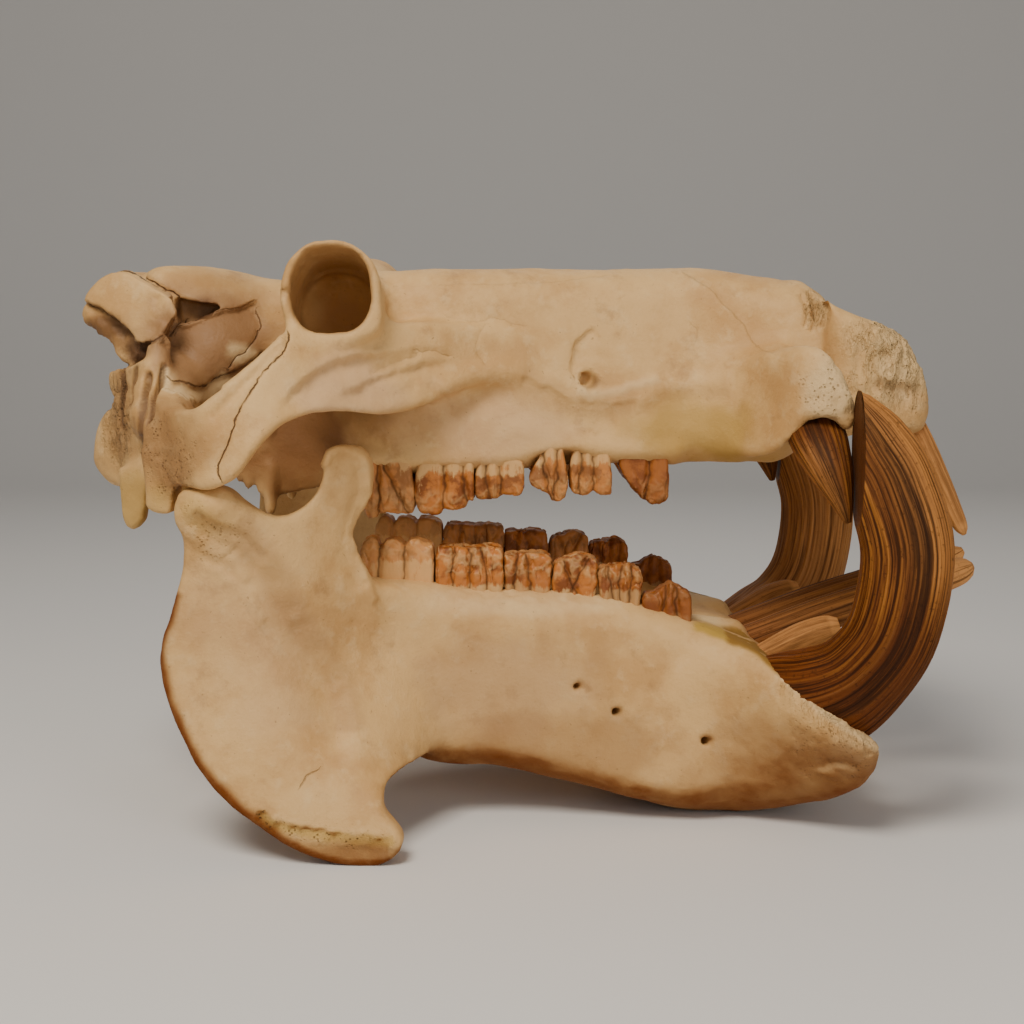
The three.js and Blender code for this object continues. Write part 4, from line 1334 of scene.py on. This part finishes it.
@dataclass
class Mandible(Bone):
    """Lower jaw: hooked corners, tall rami, deep bodies and a broad chin."""

    node: str = "mandible"
    low: Point = (-258.0, 0.0, -6.0)
    high: Point = (250.0, 216.0, 292.0)
    stains_and_shade: Sequence[TintPatch] = MANDIBLE_STAINS_AND_SHADE
    strokes: Sequence[Stroke] = field(default_factory=mandible_strokes)
    body: Sequence[Stop] = (
        (-146, 20, 20, 106, 170, 14),
        (-118, 30, 27, 72, 178, 18),
        (-85, 29, 31, 46, 176, 22),
        (-25, 25, 29, 38, 170, 24),
        (35, 23, 31, 24, 168, 24),
        (85, 22, 36, 14, 158, 22),
        (126, 24, 34, 14, 142, 20),
        (156, 20, 18, 30, 118, 16),
    )
    chin: Sequence[Stop] = (
        (64, 60, 80, 26, 62, 16),
        (92, 96, 92, 8, 104, 26),
        (122, 112, 100, 1, 136, 32),
        (152, 132, 104, 0, 135, 34),
        (176, 156, 112, 5, 121, 32),
        (200, 176, 124, 14, 101, 28),
        (220, 180, 138, 25, 87, 20),
        (234, 176, 146, 38, 77, 12),
        (241, 168, 146, 48, 70, 8),
    )

    def grow(self, block: Block) -> None:
        """Joins and cuts the jaw's shapes on one side of the midline."""
        still = ((-250, 150, 0, 60), (-60, 150, 0, 60))
        block.join(Ramus(RAMUS, still, 0, 5.5))
        block.join(Loft(self.body, 76), 16)
        block.join(Loft(self.chin), 18)
        block.join(Bar(((-224, 136, 242, 11, 9), (-220, 164, 244, 12, 9), (-219, 178, 242, 12, 9))), 12)
        block.join(Bar(((110, 52, 136, 14, 12), (152, 48, 130, 14, 12))), 8)
        for x, z, slope in ((39, 102, -3), (67, 83, 0), (130, 62, 2)):
            block.cut(Bar(((x + 8, 136, z + slope, 4), (x - 10, 92, z, 3))), 2)

    def tints(self, places: Array, normals: Array) -> dict[str, Array]:
        """Strength of every tint at each place; the undersides turn ochre, a stain with painted shade on
        faces that point down.
        """
        found = super().tints(places, normals)
        # Painted shade with stain: faces that point down, low on the jaw, turn ochre.
        under = smoothstep(-0.05, 0.45, -normals[:, 2]) * (1.0 - smoothstep(40.0, 110.0, places[:, 2]))
        uneven = 0.8 + 0.25 * fractal_noise(places, 20.0, 31)
        found["ochre"] = np.clip(np.maximum(found["ochre"], under * uneven), 0.0, 1.0)
        return found

    def settle(self, places: Array) -> Array:
        """Keeps the jaw on the surface that it stands on."""
        return np.column_stack((places[:, 0], places[:, 1], np.maximum(places[:, 2], 0.0)))


@dataclass(frozen=True)
class CheekTooth:
    """One premolar or molar on the left side.

    The outline is its crown seen from outside, from back to front, as points (x, z). Each groove down its
    face goes from an x at the neck to an x at the worn end. Near the neck the tooth is pale.
    """

    ROOT = 13.0
    EDGE = 3.2
    GROOVE_DEPTH = 2.6
    GROOVE_WIDTH = 2.4
    VALLEY = 2.4

    jaw: str
    kind: str
    middle: float
    width: float
    outline: Sequence[tuple[float, float]]
    grooves: Sequence[tuple[float, float]]
    neck: float
    wrinkle: float = 0.5
    bare: float = 0.0
    stain: float = 0.0

    @property
    def tip(self) -> float:
        """Height of the worn end."""
        heights = [z for _, z in self.outline]
        return min(heights) if self.jaw == "upper" else max(heights)

    def rise(self, z: Array) -> Array:
        """How far up the crown a height is: 0 at the neck, 1 at the worn end."""
        return (z - self.neck) / (self.tip - self.neck)

    def groove(self, x: Array, z: Array, width: float) -> Array:
        """Closeness to a groove, from 0 to 1."""
        t = np.clip(self.rise(z), -0.3, 1.0)
        lines = [np.exp(-(((x - a - (b - a) * t) / width) ** 2)) for a, b in self.grooves]
        return np.max(lines, axis=0)

    def whole_outline(self) -> list[tuple[float, float]]:
        """Crown with its root inside the bone."""
        down = math.copysign(self.ROOT, self.tip - self.neck)
        (back, low), (front, high) = self.outline[0], self.outline[-1]
        return [(back + 4.0, low - down), *self.outline, (front - 4.0, high - down)]

    def box(self) -> tuple[Array, Array]:
        """Lowest and highest corner."""
        rim = np.array(self.whole_outline())
        low, high = rim.min(axis=0), rim.max(axis=0)
        least, most = self.middle - self.width / 2, self.middle + self.width / 2
        return np.array((low[0], least, low[1])), np.array((high[0], most, high[1]))

    def distance(self, x: Array, y: Array, z: Array) -> Array:
        """Distance from its surface, negative inside."""
        flat_x, flat_z = np.broadcast_arrays(x, z)
        half = self.width / 2 * (1.0 - 0.2 * np.clip(self.rise(flat_z), 0.0, 1.0) ** 2)
        half = half - self.GROOVE_DEPTH * self.groove(flat_x, flat_z, self.GROOVE_WIDTH)
        rim = closed_line(self.whole_outline(), 5 * len(self.outline))
        cusp = self.VALLEY * np.exp(-(((y - self.middle) / (self.width * 0.16)) ** 2))
        past = outline_distance(rim, flat_x, flat_z) + self.EDGE
        past = past + cusp * smoothstep(0.6, 1.0, self.rise(flat_z))
        deep = np.abs(y - self.middle) - half + self.EDGE
        return rounded(past, deep, self.EDGE)

    def mesh(self, side: Side) -> bpy.types.Mesh:
        """Grows the tooth on one side and stores what its finish reads."""
        low, high = self.box()
        block = Block(tuple(low - 4.0), tuple(high + 4.0), CROWN_STEP)
        block.join(self, 1.0)
        places, quads = block.skin()
        seed = sum(map(ord, self.jaw + self.kind)) + side.value
        places[:, 1] *= side.value
        if side is Side.RIGHT:
            quads = quads[:, ::-1]
        mesh = make_mesh(f"{self.jaw}_{self.kind}", places, quads)
        folds = np.abs(fractal_noise(places * (1.0, 1.0, 0.4), 8.0, seed, 2))
        shift = self.wrinkle * (1.5 * smoothstep(0.0, 0.25, folds) - 1.2)
        shift += 0.7 * fractal_noise(places, 7.0, seed + 5)
        crown = smoothstep(-0.2, 0.2, self.rise(places[:, 2]))
        set_places(mesh, places + normals_of(mesh) * (shift * crown)[:, None])
        places, normals = places_of(mesh), normals_of(mesh)
        rise = self.rise(places[:, 2])
        hollow = hollow_of(mesh, 4)
        outward = normals[:, 1] * side.value
        wander = places[:, 0] + 1.6 * fractal_noise(places, 7.0, seed + 9, 2)
        lines = self.groove(wander, places[:, 2], 1.0) * smoothstep(0.3, 0.7, np.abs(outward))
        inner = smoothstep(0.1, 0.6, -outward)
        # Painted shade: groove lines and hollows of the crown are darkened.
        deep = np.maximum(0.8 * lines, 0.9 * smoothstep(0.25, 0.9, hollow))
        # Painted light: faces towards the midline, which lie in shade, are lightened by turning their stain
        # into bleach, and carry fewer marks.
        tone = self.stain - 0.25 * inner
        set_attributes(
            mesh,
            neck=1.0 - smoothstep(self.bare - 0.4, self.bare + 0.1, rise),
            crest=smoothstep(0.12, 0.5, -hollow) * (1.0 - inner),
            fold=self.wrinkle * (1.0 - inner) * smoothstep(0.1, 0.4, rise),
            groove=deep * (1.0 - 0.75 * inner),
            stain=np.maximum(tone, 0.0),
            bleach=np.maximum(-tone, 0.0),
        )
        return mesh


CHEEK_TEETH = (
    CheekTooth(
        "upper", "molar_3", middle=64.0, width=42.0,
        outline=((-125, 256), (-124, 230), (-121, 224), (-114, 224), (-112, 227), (-100, 226), (-89, 227),
                 (-87, 235), (-88, 254)),
        grooves=((-113, -113), (-104, -90)), neck=252.0, bare=-0.2, stain=-0.2,
    ),
    CheekTooth(
        "upper", "molar_2", middle=63.0, width=43.0,
        outline=((-86, 254), (-86, 237), (-83, 228), (-75, 225), (-68, 226), (-65, 230), (-58, 229),
                 (-50, 231), (-47, 236), (-43, 237), (-43, 254)),
        grooves=((-65, -66), (-50, -47)), neck=249.0, bare=-0.08,
    ),
    CheekTooth(
        "upper", "molar_1", middle=62.0, width=40.0,
        outline=((-42, 255), (-42, 240), (-39, 237), (-27, 237), (-23, 240), (-17, 240), (-8, 241),
                 (-6, 254)),
        grooves=((-24, -24), (-34, -32)), neck=251.0, bare=-0.04, stain=-0.06,
    ),
    CheekTooth(
        "upper", "premolar_4", middle=64.0, width=31.0,
        outline=((5, 268), (1, 261), (-2, 253), (0, 247), (11, 241), (14, 235), (20, 235), (25, 240),
                 (26, 254), (24, 266)),
        grooves=((9, 15), (18, 16)), neck=259.0, stain=-0.12,
    ),
    CheekTooth(
        "upper", "premolar_3", middle=61.0, width=29.0,
        outline=((28, 264), (28, 246), (32, 240), (41, 239), (45, 242), (49, 239), (55, 239), (59, 242),
                 (58, 262)),
        grooves=((45, 45), (36, 34)), neck=258.0, stain=-0.12,
    ),
    CheekTooth(
        "upper", "premolar_2", middle=58.0, width=26.0,
        outline=((64, 262), (71, 249), (77, 241), (84, 234), (92, 232), (99, 234), (101, 240),
                 (101, 260)),
        grooves=((86, 84),), neck=256.0, bare=-0.4, stain=0.55,
    ),
    CheekTooth(
        "lower", "molar_3", middle=70.0, width=31.0,
        outline=((-129, 182), (-127, 199), (-124, 206), (-119, 209), (-114, 206), (-112, 202),
                 (-109, 206), (-103, 208), (-97, 206), (-94, 203), (-91, 207), (-84, 207), (-76, 204),
                 (-73, 199), (-73, 178)),
        # Painted light in part: the strong bleach lifts this pale tooth against the shade of the ramus.
        grooves=((-113, -112), (-94, -94)), neck=189.0, bare=0.38, stain=-0.36,
    ),
    CheekTooth(
        "lower", "molar_2", middle=69.0, width=33.0,
        outline=((-71, 171), (-71, 196), (-68, 202), (-58, 202), (-46, 201), (-34, 202), (-25, 201),
                 (-22, 196), (-22, 171)),
        grooves=((-46, -46), (-60, -57), (-34, -38)), neck=175.0, wrinkle=0.8, bare=0.2,
    ),
    CheekTooth(
        "lower", "molar_1", middle=68.0, width=30.0,
        outline=((-20, 170), (-21, 192), (-18, 196), (-6, 197), (5, 197), (12, 195), (14, 190),
                 (13, 170)),
        grooves=((-2, -4), (-13, -10)), neck=175.0, wrinkle=0.8, bare=0.15, stain=0.22,
    ),
    CheekTooth(
        "lower", "premolar_4", middle=70.0, width=27.0,
        outline=((15, 170), (16, 186), (20, 191), (26, 193), (34, 196), (41, 195), (47, 191), (48, 181),
                 (47, 170)),
        grooves=((31, 20), (31, 42)), neck=172.0, wrinkle=0.7, bare=0.05,
    ),
    CheekTooth(
        "lower", "premolar_3", middle=72.0, width=24.0,
        outline=((50, 166), (49, 182), (53, 187), (62, 188), (71, 190), (77, 187), (81, 181), (80, 164)),
        grooves=((58, 55), (65, 66), (73, 74)), neck=172.0, wrinkle=0.9, bare=0.05, stain=0.3,
    ),
    CheekTooth(
        "lower", "premolar_2", middle=74.0, width=21.0,
        outline=((81, 158), (83, 166), (91, 168), (96, 172), (103, 175), (112, 170), (117, 165),
                 (118, 148)),
        grooves=((97, 99), (107, 106)), neck=158.0, wrinkle=0.7, bare=-0.15, stain=0.7,
    ),
)


class ToothTree(NodeWriter):
    """Geometry Nodes tree that wraps a fluted, worn tooth around a path with two half sizes."""

    INPUTS = {
        "Sides": "Int",
        "Rings": "Int",
        "Squareness": "Float",
        "Flute Depth": "Float",
        "Flute Scale": "Float",
        "Seed": "Float",
        "Tone": "Float",
        "Wear Point": "Vector",
        "Wear Facing": "Vector",
        "Wear Start": "Float",
        "Material": "Material",
    }

    def __init__(self) -> None:
        """Builds the tree."""
        self.tree = bpy.data.node_groups.new("tooth_on_a_path", "GeometryNodeTree")
        face = self.tree.interface
        face.new_socket("Geometry", in_out="INPUT", socket_type="NodeSocketGeometry")
        for name, kind in self.INPUTS.items():
            face.new_socket(name, in_out="INPUT", socket_type=f"NodeSocket{kind}")
        face.new_socket("Geometry", in_out="OUTPUT", socket_type="NodeSocketGeometry")
        self.source = self.tree.nodes.new("NodeGroupInput")
        self.wire()

    def vector(self, operation: str, a: object, b: object = None) -> bpy.types.NodeSocket:
        """Result of one operation on vectors."""
        node = self.add("ShaderNodeVectorMath", a, b, operation=operation)
        return next(socket for socket in node.outputs if socket.enabled)

    def scaled(self, vector: object, amount: object) -> bpy.types.NodeSocket:
        """Vector times a number."""
        return self.add("ShaderNodeVectorMath", vector, amount, operation="SCALE").outputs[0]

    def stored(self, geometry: object, name: str, value: object, kind: str) -> bpy.types.NodeSocket:
        """Geometry with a value stored on its points."""
        given = (geometry, None, name, value)
        return self.add("GeometryNodeStoreNamedAttribute", *given, data_type=kind, domain="POINT").outputs[0]

    def path_value(self, curve: object, name: str, factor: object) -> bpy.types.Node:
        """Sample of a number along the path, with the place and direction there."""
        stored = self.add("GeometryNodeInputNamedAttribute", name, data_type="FLOAT").outputs[0]
        return self.add("GeometryNodeSampleCurve", curve, stored, factor, data_type="FLOAT", mode="FACTOR",
                        use_all_curves=True)

    def flutes(self, x: object, y: object, factor: object) -> bpy.types.NodeSocket:
        """Noise from 0 to 1 that is long along the tooth and short around it."""
        given = self.source.outputs
        turn = self.add("ShaderNodeCombineXYZ", x, y, self.times(factor, 0.12)).outputs[0]
        values = (turn, given["Seed"], given["Flute Scale"], 2.0)
        return self.add("ShaderNodeTexNoise", *values, noise_dimensions="4D").outputs[0]

    def rounding(self, x: object, y: object) -> bpy.types.NodeSocket:
        """Factor that squares off a round section."""
        power = self.source.outputs["Squareness"]
        raised = self.plus(self.math("POWER", self.math("ABSOLUTE", x), power),
                           self.math("POWER", self.math("ABSOLUTE", y), power))
        radius = self.math("SQRT", self.plus(self.times(x, x), self.times(y, y)))
        norm = self.math("POWER", raised, self.math("DIVIDE", 1.0, power))
        return self.math("DIVIDE", radius, self.most(norm, 0.001))

    def wire(self) -> None:
        """Adds and links the nodes."""
        given = self.source.outputs
        curve = self.add("GeometryNodeMeshToCurve", given["Geometry"]).outputs[0]
        tube = self.add("GeometryNodeMeshCylinder", given["Sides"], given["Rings"], 8, 1.0, 1.0,
                        fill_type="TRIANGLE_FAN")
        here = self.add("GeometryNodeInputPosition").outputs[0]
        x, y, z = self.add("ShaderNodeSeparateXYZ", here).outputs
        factor = self.plus(z, 0.5)
        wide = self.path_value(curve, "half_width", factor)
        thick = self.path_value(curve, "half_thickness", factor)
        ahead = wide.outputs["Tangent"]
        fore = self.vector("NORMALIZE", self.vector("CROSS_PRODUCT", ahead, (0.0, 1.0, 0.0)))
        out = self.vector("NORMALIZE", self.vector("CROSS_PRODUCT", fore, ahead))
        squared = self.rounding(x, y)
        flute = self.flutes(x, y, factor)
        relief = self.times(self.minus(flute, 0.5), self.times(given["Flute Depth"], 5.0))
        side_reach = self.times(self.plus(wide.outputs[0], relief), self.times(x, squared))
        out_reach = self.times(self.plus(thick.outputs[0], relief), self.times(y, squared))
        place = self.vector("ADD", wide.outputs["Position"],
                            self.vector("ADD", self.scaled(fore, side_reach), self.scaled(out, out_reach)))
        from_wear = self.vector("SUBTRACT", place, given["Wear Point"])
        over = self.vector("DOT_PRODUCT", from_wear, given["Wear Facing"])
        height = self.add("ShaderNodeSeparateXYZ", place).outputs[2]
        ease = self.add("ShaderNodeMapRange", height, given["Wear Start"],
                        self.plus(given["Wear Start"], 0.03), interpolation_type="SMOOTHSTEP").outputs[0]
        past = self.times(self.most(over, 0.0), ease)
        place = self.vector("SUBTRACT", place, self.scaled(given["Wear Facing"], past))
        worn = self.add("ShaderNodeMapRange", past, 0.0, 0.0015).outputs[0]
        ring = self.add("ShaderNodeCombineXYZ", x, y, factor).outputs[0]
        body = self.stored(tube.outputs[0], "ring", ring, "FLOAT_VECTOR")
        body = self.stored(body, "flute", flute, "FLOAT")
        body = self.stored(body, "worn", worn, "FLOAT")
        body = self.stored(body, "tone", given["Tone"], "FLOAT")
        moved = self.add("GeometryNodeSetPosition", body, None, place)
        smooth = self.add("GeometryNodeSetShadeSmooth", moved.outputs[0])
        whole = self.add("GeometryNodeRealizeInstances", smooth.outputs[0])
        dressed = self.add("GeometryNodeSetMaterial", whole.outputs[0], None, given["Material"])
        self.add("NodeGroupOutput", dressed.outputs[0])

    def mesh(self, name: str, path: Array, settings: dict[str, object]) -> bpy.types.Mesh:
        """Plain mesh of one tooth.

        Args:
            name: Name of the mesh.
            path: Rows of x, y, z, half width and half thickness in millimetres.
            settings: Values of the tree's inputs by name.

        Returns:
            The evaluated mesh.
        """
        line = bpy.data.meshes.new(name)
        line.from_pydata((path[:, :3] * MM).tolist(), [(i, i + 1) for i in range(len(path) - 1)], [])
        set_attributes(line, half_width=path[:, 3] * MM, half_thickness=path[:, 4] * MM)
        host = add_object(name, line)
        modifier = host.modifiers.new("tooth", "NODES")
        modifier.node_group = self.tree
        for socket in self.tree.interface.items_tree:
            if socket.item_type == "SOCKET" and socket.in_out == "INPUT" and socket.name in settings:
                modifier[socket.identifier] = settings[socket.name]
        return take_mesh(host)


@dataclass(frozen=True)
class FrontTooth:
    """Tusk or incisor on the left side: a path of (x, y, z, half width, half thickness) from root to tip."""

    name: str
    path: Sequence[Stop]
    tone: float = 0.0
    sides: int = 72
    rings: int = 80
    squareness: float = 2.2
    flute: float = 0.4
    flute_scale: float = 5.0
    wear_point: Point = (0.0, 0.0, 9000.0)
    wear_facing: Point = (0.0, 0.0, 1.0)
    wear_start: float = -1000.0
    # Painted light: extra tone that lightens the copy on the left, the far side, which lies in shade.
    left_tone: float = 0.0
    left_lead: tuple[float, float] = (0.0, 0.0)

    def mesh(self, tree: ToothTree, side: Side, finish: bpy.types.Material) -> bpy.types.Mesh:
        """Makes the tooth on one side."""
        mirror = np.array((1.0, side.value, 1.0))
        path = smooth_line(self.path, 60)
        path[:, :3] *= mirror
        if side is Side.LEFT:
            path[:, [0, 2]] += np.linspace(0.0, 1.0, len(path))[:, None] ** 2 * self.left_lead
        settings = {
            "Sides": self.sides,
            "Rings": self.rings,
            "Squareness": self.squareness,
            "Flute Depth": self.flute * MM,
            "Flute Scale": self.flute_scale,
            "Seed": float(sum(map(ord, self.name)) % 17 + side.value),
            # Painted light for the copy on the left.
            "Tone": self.tone + (self.left_tone if side is Side.LEFT else 0.0),
            "Wear Point": tuple(np.multiply(self.wear_point, mirror) * MM),
            "Wear Facing": tuple(np.multiply(self.wear_facing, mirror)),
            "Wear Start": self.wear_start * MM,
            "Material": finish,
        }
        return tree.mesh(self.name, path, settings)


TUSK_SECTIONS = (
    (-84, 82, 124, 24, 12),
    (-64, 108, 123, 37, 16),
    (-48, 138, 129.5, 38, 21),
    (-34, 152, 133.5, 32.5, 22.5),
    (-18, 159, 135, 31, 23),
    (5, 164, 135, 31, 23),
    (26, 165, 134, 30, 24),
    (38, 165, 135.5, 27.5, 22.5),
    (46, 164, 140, 21.5, 18.5),
    (51, 164, 145.5, 14.5, 13),
    (53, 164, 149, 9, 7.5),
)


def tusk_arc() -> list[Stop]:
    """Path of a lower tusk: an arc in the plane of the skull's side, spread outwards from the chin.

    Returns:
        Stops of x, y, z and two half sizes; the sections give the angle, y, the arc's radius and those sizes.
    """
    centre_x, centre_z = 121.3, 198.6
    stops = []
    for degrees, y, reach, wide, thick in TUSK_SECTIONS:
        angle = math.radians(degrees)
        stops.append((centre_x + reach * math.cos(angle), y, centre_z + reach * math.sin(angle), wide, thick))
    return stops


def round_path(*stops: Stop) -> list[Stop]:
    """Path of a round tooth, from rows of x, y, z and radius."""
    return [(*stop, stop[3]) for stop in stops]


FRONT_TEETH = (
    FrontTooth(
        "lower_canine",
        path=tusk_arc(),
        sides=260, rings=200, squareness=2.7, flute=0.6, flute_scale=21.0,
        wear_point=(220.5, 160.0, 250.0), wear_facing=(-1.0, 0.0, 0.0), wear_start=200.0, left_tone=0.55,
    ),
    FrontTooth(
        "upper_canine",
        path=((188, 84, 335, 11, 9), (192, 98, 314, 14, 11), (196, 112, 299, 18, 13),
              (199.5, 134, 284, 19.5, 14), (205.5, 151, 263, 14.5, 13.5), (212, 158, 242, 7, 9),
              (215.5, 160, 229, 2, 3)),
        tone=-0.25, sides=120, rings=110, squareness=2.3, flute=0.6, flute_scale=10.0,
        wear_point=(220.0, 160.0, 260.0), wear_facing=(1.0, 0.0, 0.0),
    ),
    FrontTooth(
        "upper_incisor_1",
        path=round_path((272, 30, 312, 9), (284, 31, 283, 9), (298, 32, 254, 8), (309, 33, 232, 6.5),
                        (315, 33, 219, 4.5), (317, 33, 215, 1.5)),
        tone=0.7,
    ),
    FrontTooth(
        "upper_incisor_2",
        path=round_path((266, 73, 314, 9), (284, 76, 283, 8.6), (298, 78, 254, 7.8), (308, 79, 233, 6.6),
                        (315.5, 80, 217, 5), (318.5, 80, 211, 1.5)),
        tone=0.8,
    ),
    FrontTooth(
        "lower_incisor_1",
        path=round_path((110, 28, 100, 11), (170, 27, 121, 13), (230, 26, 143, 13.5), (290, 25, 162, 13),
                        (325, 25, 173.5, 11.5), (337, 25, 178, 8), (341.5, 25, 180, 2.5)),
        tone=0.26, left_lead=(6.0, 5.0),
    ),
    FrontTooth(
        "lower_incisor_2",
        path=round_path((150, 76, 106, 9), (176, 80, 121, 10.5), (200, 84, 133, 12.5),
                        (218, 86, 140, 11.5), (227, 87, 143, 7)),
        tone=0.85,
    ),
)


@dataclass(frozen=True)
class Studio:
    """Pale floor, soft lights and the camera."""

    eye: Point = (-0.015, -1.25, 0.361)
    pitch: float = 6.5
    focal_px: float = 1600.0
    image_px: float = 1024.0
    aim: Point = (0.0, 0.0, 0.2)

    def floor(self) -> None:
        """Wide pale floor that turns up behind the skull."""
        mesh = bpy.data.meshes.new("floor")
        reach, back, rise, bend, steps = 6.0, 2.4, 5.0, 1.2, 12
        profile = [(-reach, 0.0), (back, 0.0)]
        for i in range(1, steps + 1):
            angle = math.pi / 2 * i / steps
            profile.append((back + bend * math.sin(angle), bend * (1.0 - math.cos(angle))))
        profile.append((back + bend, rise))
        verts = [(x, y, z) for x in (-reach, reach) for y, z in profile]
        count = len(profile)
        mesh.from_pydata(verts, [], [(i, i + count, i + count + 1, i + 1) for i in range(count - 1)])
        mesh.polygons.foreach_set("use_smooth", [True] * len(mesh.polygons))
        mesh.materials.append(Shader("pale_floor").finish(rgba(0.72, 0.70, 0.67), 0.9))
        add_object("floor", mesh)

    def light(self, name: str, place: Point, size: float, watts: float, colour: Point) -> None:
        """Square soft light that looks at the middle of the skull."""
        lamp = bpy.data.lights.new(name, "AREA")
        lamp.size = size
        lamp.energy = watts
        lamp.color = colour
        item = add_object(name, lamp)
        item.location = place
        item.rotation_euler = (Vector(self.aim) - Vector(place)).to_track_quat("-Z", "Y").to_euler()

    def camera(self) -> None:
        """Camera at the photograph's viewing angle."""
        lens = bpy.data.cameras.new("camera")
        lens.sensor_width = 36.0
        lens.lens = 36.0 * self.focal_px / self.image_px
        lens.clip_end = 50.0
        item = add_object("camera", lens)
        item.location = self.eye
        item.rotation_euler = (math.radians(90.0 - self.pitch), 0.0, 0.0)
        bpy.context.scene.camera = item

    def build(self) -> None:
        """Sets up the studio."""
        world = bpy.data.worlds.new("studio")
        world.use_nodes = True
        sky = world.node_tree.nodes["Background"].inputs
        sky["Color"].default_value = rgba(0.75, 0.75, 0.76)
        sky["Strength"].default_value = 0.3
        bpy.context.scene.world = world
        self.floor()
        self.light("key", (-0.6, -1.4, 2.0), 0.9, 49.0, (1.0, 0.93, 0.83))
        self.light("fill", (1.2, -1.9, 0.7), 1.0, 12.5, (1.0, 0.95, 0.9))
        self.light("rim", (0.2, 1.4, 1.7), 1.2, 5.0, (1.0, 0.97, 0.93))
        self.camera()


def main() -> None:
    """Builds the skull piece by piece, then the studio around it."""
    logging.basicConfig(level=logging.INFO, format="%(name)s %(message)s")
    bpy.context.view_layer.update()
    bone = BoneFinish().material()
    enamel = EnamelFinish().material()
    ivory = IvoryFinish().material()
    Cranium().build(bone)
    Mandible().build(bone)
    for tooth in CHEEK_TEETH:
        for side in Side:
            node = f"{tooth.jaw}_{side.name.lower()}_{tooth.kind}"
            place_piece(node, tooth.mesh(side), enamel)
    tree = ToothTree()
    for tooth in FRONT_TEETH:
        jaw, kind = tooth.name.split("_", 1)
        for side in Side:
            place_piece(f"{jaw}_{side.name.lower()}_{kind}", tooth.mesh(tree, side, ivory), ivory)
    Studio().build()


if __name__ == "__main__":
    main()
